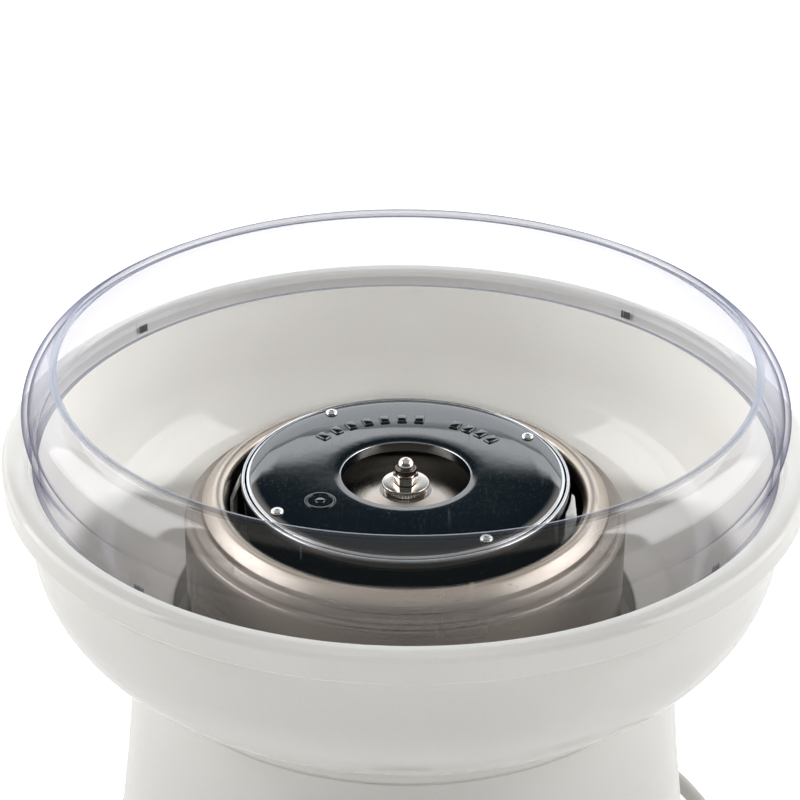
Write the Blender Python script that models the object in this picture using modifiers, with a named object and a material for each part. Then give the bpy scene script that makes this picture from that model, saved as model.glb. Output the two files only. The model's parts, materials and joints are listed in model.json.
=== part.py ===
"""A cotton candy machine for hard candy: a motor base, a heated spinning head inside a steel
shroud, a lift-off floss bowl and a clear rim shield that stands in the bowl's rim.

Metres, +Z up, front of the machine towards -Y. The origin is on the table, under the centre of
the machine. Turned parts share the vertical axis of the motor shaft.
"""

import math

import bmesh
import bpy
from mathutils import Vector

MM = 0.001
FULL_TURN = 2 * math.pi

GAP = 0.3 * MM

# Driving heights above the table
BASE_BOTTOM_Z = 10 * MM
COVER_TOP_Z = 13 * MM
DECK_BOTTOM_Z = 119 * MM
DECK_TOP_Z = 122 * MM
BASE_TOP_Z = 131.2 * MM
RIM_Z = 205 * MM
SWITCH_Z = 72 * MM

# Driving radii
RIM_R = 146 * MM
BOWL_HOLE_R = 86.8 * MM
SHROUD_R = 81.5 * MM
HEAD_R = 60.4 * MM
HEAD_HOLE_R = 23.8 * MM
BASE_FOOT_R = 118 * MM
SHAFT_R = 4 * MM
STUD_R = 2.5 * MM
BUSH_R = 8 * MM

# Heights that hang on the bowl's rim plane
PAN_BOTTOM_Z = RIM_Z - 37 * MM
PAN_FOOT_Z = RIM_Z - 40 * MM
PAN_BOSS_TOP_Z = RIM_Z - 23.1 * MM

# Rivets that hold the top plate down on the pan
RIVET_CIRCLE_R = 54 * MM
RIVET_AZIMUTHS = (32, 122, 212, 302)

# The stack on the shaft's end: radius and thickness, the nut's width across flats and height
LOCK_WASHER = (7.8 * MM, 1.8 * MM)
WASHER = (8.7 * MM, 1.0 * MM)
ACORN_NUT_HEX = (8 * MM, 3.8 * MM)
ACORN_NUT_HEIGHT = 10.1 * MM

# Heater and shields under the head
HAT_TOP_Z = 150 * MM
HAT_R = 68 * MM
HEATER_R = 45 * MM
HEATER_TUBE_R = 3.2 * MM
HEATER_Z = 161 * MM
CERAMIC_AZIMUTHS = (30, 140, 250)
GUARD_TOP_Z = RIM_Z - 20 * MM
SHROUD_SCREW_R = 74 * MM
CUTOUT_X = 28 * MM

# Motor and its mounting
MOTOR_R = 33 * MM
MOTOR_TOP_Z = 111.7 * MM
MOTOR_BOTTOM_Z = 60 * MM
BRACKET_Z = 112 * MM
BRACKET_THICKNESS = 2 * MM
BRACKET_ARM_R = 55 * MM
BRACKET_ARM_AZIMUTHS = (30, 150, 270)

# Feet and bottom screws
FOOT_CIRCLE_R = 92 * MM
FOOT_AZIMUTHS = (45, 135, 225, 315)
COVER_SCREW_R = 103 * MM
COVER_SCREW_HOLE_R = 2 * MM
COVER_SCREW_AZIMUTHS = (20, 110, 200, 290)
VENT_AZIMUTHS = range(66, 115, 8)

# Switch: its pivot, the slope of the drum there and the rocker's tilt at rest
PIVOT_Y = -107.6 * MM
SWITCH_SLOPE = math.radians(-5.5)
ROCKER_REST = math.radians(8)

# Cord
CORD_EXIT_X = 24 * MM
CORD_EXIT_Z = 40 * MM
CORD_R = 3.2 * MM

# Facets round the axis
LARGE = 40
MEDIUM = 32
SMALL = 16

OFF_WHITE = (0.80, 0.80, 0.77)
STEEL = (0.62, 0.58, 0.54)
BLACK = (0.012, 0.014, 0.017)


# Collections and materials


def clear_scene():
    for obj in list(bpy.data.objects):
        bpy.data.objects.remove(obj, do_unlink=True)


def new_collection(name):
    collection = bpy.data.collections.new(name)
    bpy.context.scene.collection.children.link(collection)
    return collection


def material(name, colour, roughness, metallic=0.0, alpha=1.0):
    """A Principled material, made once and shared by its name."""
    found = bpy.data.materials.get(name)
    if found:
        return found
    made = bpy.data.materials.new(name)
    made.use_nodes = True
    shader = made.node_tree.nodes["Principled BSDF"]
    shader.inputs["Base Color"].default_value = (*colour, 1)
    shader.inputs["Roughness"].default_value = roughness
    shader.inputs["Metallic"].default_value = metallic
    shader.inputs["Alpha"].default_value = alpha
    return made


# Shaping tools


def place(obj, collection):
    """Moves an object into one collection only."""
    for old in list(obj.users_collection):
        old.objects.unlink(obj)
    collection.objects.link(obj)
    return obj


def finish_part(obj, name, surface):
    obj.name = name
    obj.data.name = name
    obj.data.materials.clear()
    obj.data.materials.append(surface)
    return place(obj, machine)


def smooth_shade(mesh, angle=35):
    mesh.shade_smooth()
    mesh.set_sharp_from_angle(angle=math.radians(angle))


def bake(obj):
    """Replaces an object by the mesh that its modifiers or its curve make."""
    bpy.context.view_layer.update()
    graph = bpy.context.evaluated_depsgraph_get()
    mesh = bpy.data.meshes.new_from_object(obj.evaluated_get(graph))
    edit = bmesh.new()
    edit.from_mesh(mesh)
    bmesh.ops.remove_doubles(edit, verts=edit.verts, dist=0.002 * MM)
    edit.to_mesh(mesh)
    edit.free()
    baked = bpy.data.objects.new(obj.name, mesh)
    place(baked, obj.users_collection[0])
    baked.matrix_world = obj.matrix_world.copy()
    bpy.data.objects.remove(obj, do_unlink=True)
    smooth_shade(mesh)
    return baked


def arc(centre, radius, start, end, count):
    """Points on an arc in the profile plane; angles in degrees from the outward direction."""
    points = []
    for step in range(count):
        angle = math.radians(start + (end - start) * step / (count - 1))
        r = centre[0] + radius * math.cos(angle)
        z = centre[1] + radius * math.sin(angle)
        points.append((r, z))
    return points


def scaled(points, base_z=0.0):
    """Profile points given in millimetres above base_z, in metres."""
    return [(r * MM, z * MM + base_z) for r, z in points]


def turn(profile, facets, closed=True):
    """A profile of (radius, height) points, top to bottom on its outer side, turned round Z."""
    edges = [(i, i + 1) for i in range(len(profile) - 1)]
    if closed:
        edges.append((len(profile) - 1, 0))
    mesh = bpy.data.meshes.new("profile")
    mesh.from_pydata([(r, 0, z) for r, z in profile], edges, [])
    obj = bpy.data.objects.new("profile", mesh)
    bpy.context.scene.collection.objects.link(obj)
    screw = obj.modifiers.new("Turn", "SCREW")
    screw.axis = "Z"
    screw.angle = FULL_TURN
    screw.steps = facets
    screw.render_steps = facets
    screw.use_merge_vertices = True
    screw.merge_threshold = 0.00001
    return bake(obj)


def turned(name, profile, surface, facets=MEDIUM, closed=True):
    return finish_part(turn(profile, facets, closed), name, surface)


def round_bar(radius, low, high, facets=SMALL, centre=(0.0, 0.0)):
    """A plain upright cylinder between two heights."""
    bpy.ops.mesh.primitive_cylinder_add(
        vertices=facets,
        radius=radius,
        depth=high - low,
        location=(centre[0], centre[1], (low + high) / 2),
    )
    return bpy.context.object


def box(low, high):
    size = [b - a for a, b in zip(low, high)]
    middle = [(a + b) / 2 for a, b in zip(low, high)]
    bpy.ops.mesh.primitive_cube_add(size=1, location=middle)
    obj = bpy.context.object
    obj.scale = size
    bpy.ops.object.transform_apply(location=False, rotation=False, scale=True)
    return obj


def polar(radius, degrees):
    angle = math.radians(degrees)
    return radius * math.cos(angle), radius * math.sin(angle)


def swing(obj, degrees):
    """Turns an object about the machine's axis."""
    angle = math.radians(degrees)
    x, y, z = obj.location
    obj.location = (
        x * math.cos(angle) - y * math.sin(angle),
        x * math.sin(angle) + y * math.cos(angle),
        z,
    )
    obj.rotation_euler.z += angle
    return obj


def bevelled(obj, width, segments=2):
    bevel = obj.modifiers.new("Soft edges", "BEVEL")
    bevel.width = width
    bevel.segments = segments
    bevel.limit_method = "ANGLE"
    bevel.angle_limit = math.radians(40)
    return obj


def combine(obj, tool, operation):
    """Cuts or joins with a tool, which is put away in the cutters' collection."""
    tool.name = "cutter"
    tool.hide_render = True
    tool.display_type = "WIRE"
    place(tool, cutters)
    boolean = obj.modifiers.new(operation.title(), "BOOLEAN")
    boolean.operation = operation
    boolean.object = tool
    return obj


def cut(obj, tool):
    return combine(obj, tool, "DIFFERENCE")


def join(obj, tool):
    return combine(obj, tool, "UNION")


def outline_plate(outline, thickness):
    """A flat outline in the XY plane, thickened evenly both ways, as a mesh."""
    curve = bpy.data.curves.new("outline", "CURVE")
    curve.dimensions = "2D"
    curve.fill_mode = "BOTH"
    curve.extrude = thickness / 2
    spline = curve.splines.new("POLY")
    spline.points.add(len(outline) - 1)
    for point, (x, y) in zip(spline.points, outline):
        point.co = (x, y, 0, 1)
    spline.use_cyclic_u = True
    obj = bpy.data.objects.new("outline", curve)
    bpy.context.scene.collection.objects.link(obj)
    return bake(obj)


def radial_plate(outline, thickness, degrees):
    """A flat outline of (radius, height) points, standing in the radial plane at an azimuth."""
    obj = outline_plate(outline, thickness)
    obj.rotation_euler = (math.pi / 2, 0, math.radians(degrees))
    return obj


def rounded_path(corners, radius, steps=4):
    """A polyline whose corners are replaced by short arcs."""
    points = [Vector(corners[0])]
    for before, corner, after in zip(corners, corners[1:], corners[2:]):
        corner = Vector(corner)
        into = Vector(before) - corner
        out = Vector(after) - corner
        reach = min(radius, into.length * 0.45, out.length * 0.45)
        start = corner + into.normalized() * reach
        end = corner + out.normalized() * reach
        for step in range(steps + 1):
            t = step / steps
            points.append(start * (1 - t) ** 2 + corner * 2 * t * (1 - t) + end * t * t)
    points.append(Vector(corners[-1]))
    return points


def tube(name, path, radius, surface):
    """A round wire or tube along a path, with filled ends."""
    curve = bpy.data.curves.new(name, "CURVE")
    curve.dimensions = "3D"
    curve.bevel_depth = radius
    curve.bevel_resolution = 2
    curve.use_fill_caps = True
    spline = curve.splines.new("POLY")
    spline.points.add(len(path) - 1)
    for point, co in zip(spline.points, path):
        point.co = (*co, 1)
    obj = bpy.data.objects.new(name, curve)
    bpy.context.scene.collection.objects.link(obj)
    return finish_part(bake(obj), name, surface)


# Bowl and shield


def add_bowl():
    """Floss bowl: a rolled rim with a ledge for the shield, and a quarter-round floor."""
    plastic = material("bowl_plastic", OFF_WHITE, 0.28)
    fillet_centre = (92.5, -28.5)
    wall = 3.0
    fillet = 45.0
    rim, hole = RIM_R / MM, BOWL_HOLE_R / MM
    edge = 1.6
    profile = [(138.1, 0), (rim - edge, 0.2)]
    profile += arc((rim - edge, -1.4), edge, 80, 0, 3)
    profile += [(rim, -9.4), (rim - 0.8, -10.2), (143.4, -10.2), (143.2, -3.2), (139.2, -3.2)]
    profile += [(138.6, -12), (137.5, -26)]
    profile += arc(fillet_centre, fillet, -8, -90, 7)
    profile += [(hole, -73.5), (hole, -70.5)]
    profile += arc(fillet_centre, fillet - wall, -90, -8, 7)
    profile += [(134.9, -5.4), (136.4, -5.0), (136.7, -1.6)]
    turned("bowl", scaled(profile, RIM_Z), plastic, LARGE)


def add_rim_shield():
    """Clear ring: a bulging wall that leans in to a beaded edge, over a short upright skirt."""
    clear = material("clear_plastic", (0.86, 0.88, 0.94), 0.05, 0.0, 0.35)
    bulge_centre = (118.6, 16.0)
    bulge = 19.4
    wall = 2.2
    profile = arc((126.0, 32.0), 1.4, 150, 30, 3)
    profile += arc(bulge_centre, bulge, 52, -20, 6)
    profile += [(135.9, 6.4), (135.5, 3.0), (135.4, -4.4), (133.2, -4.4), (133.3, 4.0)]
    profile += arc(bulge_centre, bulge - wall, -32, 50, 6)
    profile += [(125.0, 30.4)]
    shield = turn(scaled(profile, RIM_Z), LARGE)
    shield = finish_part(shield, "rim_shield", clear)
    for azimuth in (50, 140, 230, 320):
        tab = box((134.6 * MM, -4 * MM, RIM_Z - 4.2 * MM), (135.8 * MM, 4 * MM, RIM_Z + 3.2 * MM))
        join(shield, swing(tab, azimuth))


# Spinning head


def add_head():
    black = material("black_coating", BLACK, 0.12)
    cast = material("polished_aluminium", (0.78, 0.77, 0.75), 0.18, 1.0)

    rim, boss, hub = HEAD_R / MM, (PAN_BOSS_TOP_Z - RIM_Z) / MM, 9.0
    bottom, foot = (PAN_BOTTOM_Z - RIM_Z) / MM, (PAN_FOOT_Z - RIM_Z) / MM
    stud_bore = STUD_R / MM + 0.3
    rim_wall, corner = 1.4, 4.0
    wall_r = rim - 0.7
    pan = [(rim - rim_wall, -17.0), (rim - 0.3, -17.1), (rim, -17.8), (rim, -20.2), (wall_r, -21.4)]
    pan += arc((wall_r - corner, bottom + corner), corner, 0, -90, 4)
    pan += [(hub, bottom), (hub, foot), (stud_bore, foot), (stud_bore, boss), (hub + 0.6, boss)]
    pan += [(48.0, -33.0), (50.5, -31.6), (50.5, -20.2), (rim - rim_wall, -20.2)]
    pan = turned("head_pan", scaled(pan, RIM_Z), cast)

    hole = HEAD_HOLE_R / MM
    plate = [(42.0, -16.2), (54.0, -16.5), (57.6, -16.8), (58.5, -17.4), (58.5, -18.8)]
    plate += [(42.0, -17.6), (28.5, -17.8), (25.0, -18.9), (hole, -20.2)]
    plate += [(hole, -18.6), (24.6, -17.4), (27.0, -16.6)]
    top_plate = turned("head_top_plate", scaled(plate, RIM_Z), black)

    bright = material("rivet", (0.8, 0.8, 0.8), 0.2, 1.0)
    shank = 1.4
    hole_r = (shank + 0.3) * MM
    for number, azimuth in enumerate(RIVET_AZIMUTHS, start=1):
        centre = polar(RIVET_CIRCLE_R, azimuth)
        cut(top_plate, round_bar(hole_r, RIM_Z - 22 * MM, RIM_Z - 10 * MM, 16, centre))
        cut(pan, round_bar(hole_r, PAN_FOOT_Z, RIM_Z - 10 * MM, 16, centre))
        head = [(0, -15.0), (1.4, -15.3), (2.2, -15.8), (2.35, -16.2), (shank, -16.2)]
        head += [(shank, bottom - 1.3), (0, bottom - 1.3)]
        rivet = turn(scaled(head, RIM_Z), 16, closed=False)
        rivet.location = (*centre, 0)
        finish_part(rivet, f"head_rivet_{number}", bright)


def add_shaft_end():
    """Lock washer, washer and acorn nut that clamp the head down on the shaft."""
    steel = material("plated_steel", (0.75, 0.74, 0.72), 0.16, 1.0)
    lock_low = PAN_BOSS_TOP_Z + GAP
    bore = STUD_R + GAP

    outer, thickness = LOCK_WASHER
    lock_top = lock_low + thickness
    ring = [(outer, lock_top), (outer, lock_low), (bore, lock_low), (bore, lock_top)]
    lock_washer = turned("lock_washer", ring, steel, 32)
    teeth = 16
    for tooth in range(teeth):
        notch = box((outer - 1.2 * MM, -0.35 * MM, lock_low - MM), (outer + MM, 0.35 * MM, lock_top + MM))
        cut(lock_washer, swing(notch, 360 * tooth / teeth))

    outer, thickness = WASHER
    low = lock_top + GAP
    top = low + thickness
    edge = 0.25 * MM
    ring = [(outer - edge, top), (outer, top - edge), (outer, low), (bore, low), (bore, top)]
    turned("head_washer", ring, steel, 32)

    across_flats, hex_height = ACORN_NUT_HEX
    low = top + GAP
    nut = round_bar(across_flats / 2 / math.cos(math.pi / 6), low, low + hex_height, 6)
    nut = finish_part(nut, "acorn_nut", steel)
    collar_r = 3.9 * MM
    collar_top = low + hex_height + 2.2 * MM
    dome_r = 3.1 * MM
    dome = [(0, low + ACORN_NUT_HEIGHT)]
    dome += arc((0, low + ACORN_NUT_HEIGHT - dome_r), dome_r, 70, 0, 5)
    dome += [(dome_r, collar_top), (collar_r, collar_top - 0.3 * MM)]
    dome += [(collar_r, low + hex_height - 0.5 * MM), (0, low + hex_height - 0.5 * MM)]
    join(nut, turn(dome, 24, closed=False))
    depth = ACORN_NUT_HEIGHT - 2.6 * MM
    cut(nut, round_bar(bore, low - MM, low + depth, 20))
    return low + depth - GAP


def add_shaft(top):
    """Stepped shaft: a plain journal through the motor, a threaded stud through the head."""
    steel = material("shaft_steel", (0.6, 0.6, 0.6), 0.25, 1.0)
    shoulder = PAN_FOOT_Z - GAP
    profile = [(0, top), (STUD_R - 0.4 * MM, top), (STUD_R, top - 0.4 * MM), (STUD_R, shoulder)]
    tail = 44 * MM
    profile += [(SHAFT_R, shoulder), (SHAFT_R, tail), (0, tail)]
    turned("motor_shaft", profile, steel, SMALL, closed=False)


# Shroud, heat shield and heater


def add_shroud():
    """Steel collar: rolled lip, a hollow step, a round shoulder, an upright wall, a foot flange."""
    steel = material("satin_steel", STEEL, 0.25, 1.0)
    sheet = 0.8
    profile = arc((69.2, -26.2), 3.6, 112, 52, 3)
    profile += [(73.6, -25.2), (74.8, -26.7), (75.2, -28.6), (76.4, -30.2), (78.6, -31.0)]
    profile += arc((79.1, -33.4), 2.4, 75, 0, 3)
    foot = (DECK_TOP_Z - RIM_Z) / MM + GAP / MM
    profile += [(SHROUD_R / MM, foot), (70.0, foot), (70.0, foot + sheet)]
    profile += [(SHROUD_R / MM - sheet, foot + sheet)]
    profile += [(79.9, -31.9), (76.0, -31.0), (74.4, -29.0), (74.0, -27.0)]
    profile += arc((69.2, -26.2), 3.6 - sheet, 50, 170, 3)
    profile += [(66.4, -29.0), (65.6, -29.0), (65.6, -25.8)]
    turned("shroud", scaled(profile, RIM_Z), steel, LARGE)


def add_heat_shield():
    """Steel hat that carries the heater and keeps its heat off the plastic deck."""
    steel = material("galvanised_steel", (0.55, 0.56, 0.57), 0.4, 1.0)
    sheet = 0.8 * MM
    foot = DECK_TOP_Z + GAP + sheet + GAP
    flange_r = 78 * MM
    hole = 7 * MM
    profile = [(HAT_R, HAT_TOP_Z), (HAT_R, foot + sheet), (flange_r, foot + sheet), (flange_r, foot)]
    profile += [(HAT_R - sheet, foot), (HAT_R - sheet, HAT_TOP_Z - sheet)]
    profile += [(hole, HAT_TOP_Z - sheet), (hole, HAT_TOP_Z)]
    hat = turned("heat_shield", profile, steel)
    screw_steel = material("screw_steel", (0.5, 0.5, 0.5), 0.35, 1.0)
    for number, azimuth in enumerate((60, 180, 300), start=1):
        centre = polar(SHROUD_SCREW_R, azimuth)
        for pierced in (hat, bpy.data.objects["shroud"], bpy.data.objects["base_housing"]):
            cut(pierced, round_bar(2.2 * MM, 100 * MM, 130 * MM, 12, centre))
        seat = foot + sheet + GAP
        screw = [(0, seat + 2.2 * MM), (2.2 * MM, seat + 1.8 * MM), (3.4 * MM, seat + 0.6 * MM)]
        screw += [(3.4 * MM, seat), (1.8 * MM, seat), (1.8 * MM, 114 * MM), (0, 113 * MM)]
        made = turn(screw, 16, closed=False)
        made.location = (*centre, 0)
        finish_part(made, f"shroud_screw_{number}", screw_steel)


def add_heater():
    """Open ring of sheathed tube on three ceramic blocks; its ends turn down through the hat."""
    half_opening = 14
    bend = 6
    steps = 26
    hole_r = HEATER_TUBE_R + 1.5 * MM
    path = []
    for step in range(steps + 1):
        azimuth = 180 + half_opening + bend + (360 - 2 * half_opening - 2 * bend) * step / steps
        path.append((*polar(HEATER_R, azimuth), HEATER_Z))
    hat = bpy.data.objects["heat_shield"]
    for side in (1, -1):
        centre = polar(HEATER_R, 180 + side * half_opening)
        leg = [
            Vector((*centre, HAT_TOP_Z - 8 * MM)),
            Vector((*centre, HEATER_Z - 5 * MM)),
            Vector((*polar(HEATER_R, 180 + side * (half_opening + 1.5)), HEATER_Z - 1.5 * MM)),
        ]
        path = leg + path if side == 1 else path + leg[::-1]
        cut(hat, round_bar(hole_r, HAT_TOP_Z - 3 * MM, HAT_TOP_Z + 3 * MM, 16, centre))
    sheath = material("heater_sheath", (0.16, 0.14, 0.13), 0.45, 0.8)
    tube("heater_element", path, HEATER_TUBE_R, sheath)


def add_ceramics():
    """Three blocks under the heater, and a tall guard block hollowed to clear the head's rim."""
    ceramic = material("ceramic", (0.86, 0.86, 0.84), 0.6)
    foot = HAT_TOP_Z + GAP
    rest = HEATER_Z - HEATER_TUBE_R - GAP
    inner, outer, ledge = 38 * MM, 58 * MM, 52 * MM
    outline = [(inner, foot), (outer, foot), (outer, rest + 4 * MM), (ledge, rest + 4 * MM)]
    outline += [(ledge, rest), (inner, rest)]
    for number, azimuth in enumerate(CERAMIC_AZIMUTHS, start=1):
        block = radial_plate(outline, 14 * MM, azimuth)
        finish_part(block, f"ceramic_support_{number}", ceramic)
    guard = box((51 * MM, -19.4 * MM, foot), (62.1 * MM, -3.7 * MM, GUARD_TOP_Z))
    sweep = HEAD_R + 0.7 * MM
    cut(guard, round_bar(sweep, PAN_BOTTOM_Z - 2 * MM, GUARD_TOP_Z + 5 * MM, 64))
    finish_part(guard, "ceramic_guard", ceramic)


def add_terminal_bracket():
    """Bent strip that rises beside the head, with its tip turned in towards the head's rim."""
    steel = material("bracket_steel", (0.66, 0.66, 0.66), 0.3, 1.0)
    low = HAT_TOP_Z + GAP
    strip = 1.2 * MM
    outer, tip = 64.9 * MM, 61.2 * MM
    bend_z, tip_z = RIM_Z - 29.2 * MM, RIM_Z - 23.0 * MM
    outline = [(54 * MM, low), (outer, low), (outer, bend_z), (tip + 0.9 * MM, tip_z)]
    outline += [(tip, tip_z - 0.8 * MM), (outer - strip, bend_z - 0.4 * MM)]
    outline += [(outer - strip, low + strip), (54 * MM, low + strip)]
    bracket = radial_plate(outline, 9 * MM, 174)
    finish_part(bracket, "terminal_bracket", steel)


def add_thermal_cutout():
    """Button thermostat held up against the inside of the heat shield."""
    shell = material("cutout_shell", (0.7, 0.69, 0.66), 0.4, 0.9)
    top = (HAT_TOP_Z - GAP) / MM - 0.8
    profile = [(0, top), (8, top), (8, top - 3), (10, top - 3), (10, top - 4), (6.5, top - 4)]
    profile += [(6.5, top - 9), (0, top - 9)]
    made = turn(scaled(profile), SMALL, closed=False)
    made.location = (CUTOUT_X, 0, 0)
    finish_part(made, "thermal_cutout", shell)


# Base


def housing_side():
    """Outer outline of the base from its top edge to its foot, in millimetres."""
    edge = 4.0
    foot_r = BASE_FOOT_R / MM
    side = arc((97.0, BASE_TOP_Z / MM - edge), edge, 90, 0, 4)
    side += [(103.4, 100), (106.3, 70), (109.6, 42), (112.4, 29), (116.2, 20.5), (foot_r, 15)]
    side += [(foot_r, BASE_BOTTOM_Z / MM)]
    return side


def add_base_housing():
    """Moulded drum: a sunk deck for the shroud, screw posts, vents, holes for switch and cord."""
    plastic = material("base_plastic", OFF_WHITE, 0.35)
    top, deck, deck_under = BASE_TOP_Z / MM, DECK_TOP_Z / MM, DECK_BOTTOM_Z / MM
    well, opening = 87.3, 40.0
    profile = [(well, top)]
    profile += housing_side()
    profile += [(115.4, 10), (115.4, 14.6), (113.8, 19.4), (109.9, 28.2), (107.0, 42)]
    profile += [(103.7, 70), (100.8, 100), (98.3, 126.4), (96.2, 128.5), (well + 3, 128.5)]
    profile += [(well + 3, deck_under), (opening, deck_under), (opening, deck), (well, deck)]
    housing = turned("base_housing", scaled(profile), plastic, LARGE)
    for azimuth in COVER_SCREW_AZIMUTHS:
        centre = polar(COVER_SCREW_R, azimuth)
        join(housing, round_bar(5.5 * MM, COVER_TOP_Z + 2 * GAP, 52 * MM, 16, centre))
        cut(housing, round_bar(COVER_SCREW_HOLE_R, BASE_BOTTOM_Z, 34 * MM, 12, centre))
    cut(housing, switch_block(9.3 * MM, -15 * MM, 20 * MM, 13.3 * MM))
    for azimuth in VENT_AZIMUTHS:
        slot = box((90 * MM, -1.6 * MM, 64 * MM), (120 * MM, 1.6 * MM, 90 * MM))
        cut(housing, swing(slot, azimuth))
    cord_hole = round_bar(6.6 * MM, -20 * MM, 20 * MM, SMALL)
    cord_hole.rotation_euler.x = math.pi / 2
    cord_hole.location = (CORD_EXIT_X, 105 * MM, CORD_EXIT_Z)
    cut(housing, cord_hole)


def add_bottom():
    """Vented bottom cover, rubber feet and the screws that hold the cover."""
    plastic = material("cover_plastic", (0.30, 0.30, 0.30), 0.5)
    rubber = material("foot_rubber", (0.10, 0.10, 0.10), 0.8)
    screw_steel = material("screw_steel", (0.5, 0.5, 0.5), 0.35, 1.0)
    cover = round_bar(114.9 * MM, BASE_BOTTOM_Z, COVER_TOP_Z, LARGE)
    finish_part(cover, "bottom_cover", plastic)
    vents = 10
    for slot in range(vents):
        vent = box((22 * MM, -2.5 * MM, 0), (48 * MM, 2.5 * MM, 20 * MM))
        cut(cover, swing(vent, 360 * slot / vents))
    seat = BASE_BOTTOM_Z - GAP
    for number, azimuth in enumerate(COVER_SCREW_AZIMUTHS, start=1):
        centre = polar(COVER_SCREW_R, azimuth)
        cut(cover, round_bar(COVER_SCREW_HOLE_R, 0, 20 * MM, 12, centre))
        screw = [(0, 30 * MM), (1.6 * MM, 29 * MM), (1.6 * MM, seat), (3.6 * MM, seat)]
        screw += [(3.6 * MM, seat - 0.8 * MM), (2.2 * MM, seat - 2.2 * MM), (0, seat - 2.4 * MM)]
        made = turn(screw, 16, closed=False)
        made.location = (*centre, 0)
        finish_part(made, f"cover_screw_{number}", screw_steel)
    for number, azimuth in enumerate(FOOT_AZIMUTHS, start=1):
        pad = [(0, seat), (12 * MM, seat), (12 * MM, seat - 2 * MM), (10.4 * MM, 1 * MM)]
        pad += [(9.6 * MM, 0), (0, 0)]
        made = turn(pad, SMALL, closed=False)
        made.location = (*polar(FOOT_CIRCLE_R, azimuth), 0)
        finish_part(made, f"foot_{number}", rubber)


# Motor


def add_motor():
    can_steel = material("motor_can_steel", (0.45, 0.46, 0.48), 0.35, 1.0)
    iron = material("motor_iron", (0.2, 0.2, 0.21), 0.5, 0.7)
    bronze = material("bush_bronze", (0.55, 0.38, 0.16), 0.35, 1.0)
    wall = 1.2 * MM
    seat = BUSH_R + GAP
    inside, ceiling = MOTOR_R - wall, MOTOR_TOP_Z - wall - MM
    can = [(MOTOR_R - 2 * MM, MOTOR_TOP_Z), (MOTOR_R, MOTOR_TOP_Z - 2 * MM)]
    can += [(MOTOR_R, MOTOR_BOTTOM_Z), (inside, MOTOR_BOTTOM_Z), (inside, ceiling)]
    can += [(seat, ceiling), (seat, MOTOR_TOP_Z)]
    turned("motor_can", can, can_steel)

    bore = SHAFT_R + GAP
    fit = inside - GAP
    floor = MOTOR_BOTTOM_Z
    sleeves = (
        ("motor_stator", iron, fit, 24 * MM, 66 * MM, 102 * MM),
        ("motor_rotor", iron, 23 * MM, bore, 66 * MM, 102 * MM),
        ("motor_end_cap", can_steel, fit, seat, floor, floor + 3 * MM),
        ("upper_bush", bronze, BUSH_R, bore, MOTOR_TOP_Z - 7 * MM, MOTOR_TOP_Z + MM),
        ("lower_bush", bronze, BUSH_R, bore, floor - 2 * MM, floor + 5 * MM),
    )
    for name, surface, outer, inner, low, high in sleeves:
        ring = [(outer, high), (outer, low), (inner, low), (inner, high)]
        turned(name, ring, surface, MEDIUM if outer == fit else SMALL)


def add_motor_mounting():
    """Three-armed bracket over the motor, hung from the deck on rubber mounts."""
    steel = material("bracket_steel", (0.66, 0.66, 0.66), 0.3, 1.0)
    rubber = material("mount_rubber", (0.06, 0.06, 0.06), 0.75)
    top = BRACKET_Z + BRACKET_THICKNESS
    bracket = round_bar(MOTOR_R + MM, BRACKET_Z, top, 32)
    finish_part(bracket, "motor_bracket", steel)
    for number, azimuth in enumerate(BRACKET_ARM_AZIMUTHS, start=1):
        arm = box((0, -8 * MM, BRACKET_Z), (BRACKET_ARM_R + 8 * MM, 8 * MM, top))
        join(bracket, swing(arm, azimuth))
        centre = polar(BRACKET_ARM_R, azimuth)
        mount = round_bar(6 * MM, top + GAP, DECK_BOTTOM_Z - GAP, SMALL, centre)
        finish_part(mount, f"motor_mount_{number}", rubber)
    cut(bracket, round_bar(BUSH_R + 1.5 * MM, 100 * MM, 120 * MM, SMALL))


def add_cooling_fan():
    """Six-bladed fan pressed on the shaft's lower end."""
    plastic = material("fan_plastic", (0.75, 0.75, 0.72), 0.5)
    low, high = 45 * MM, 56 * MM
    fan = round_bar(9 * MM, low, high, SMALL)
    finish_part(fan, "cooling_fan", plastic)
    blades = 6
    for blade in range(blades):
        vane = box((6 * MM, -5 * MM, -0.7 * MM), (31 * MM, 5 * MM, 0.7 * MM))
        vane.location.z = (low + high) / 2
        vane.rotation_euler.x = math.radians(32)
        join(fan, swing(vane, 360 * blade / blades))
    cut(fan, round_bar(SHAFT_R + GAP, low - MM, high + MM, SMALL))


# Switch


def in_switch_frame(obj):
    """Puts an object made about the rocker's pivot on the drum's sloping front."""
    obj.rotation_euler.x += SWITCH_SLOPE
    obj.location = (0, PIVOT_Y, SWITCH_Z)
    return obj


def switch_block(half_width, front, back, half_height):
    """A box about the pivot, front towards -Y."""
    block = box((-half_width, front, -half_height), (half_width, back, half_height))
    bpy.ops.object.transform_apply(location=True, rotation=False, scale=False)
    return in_switch_frame(block)


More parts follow.
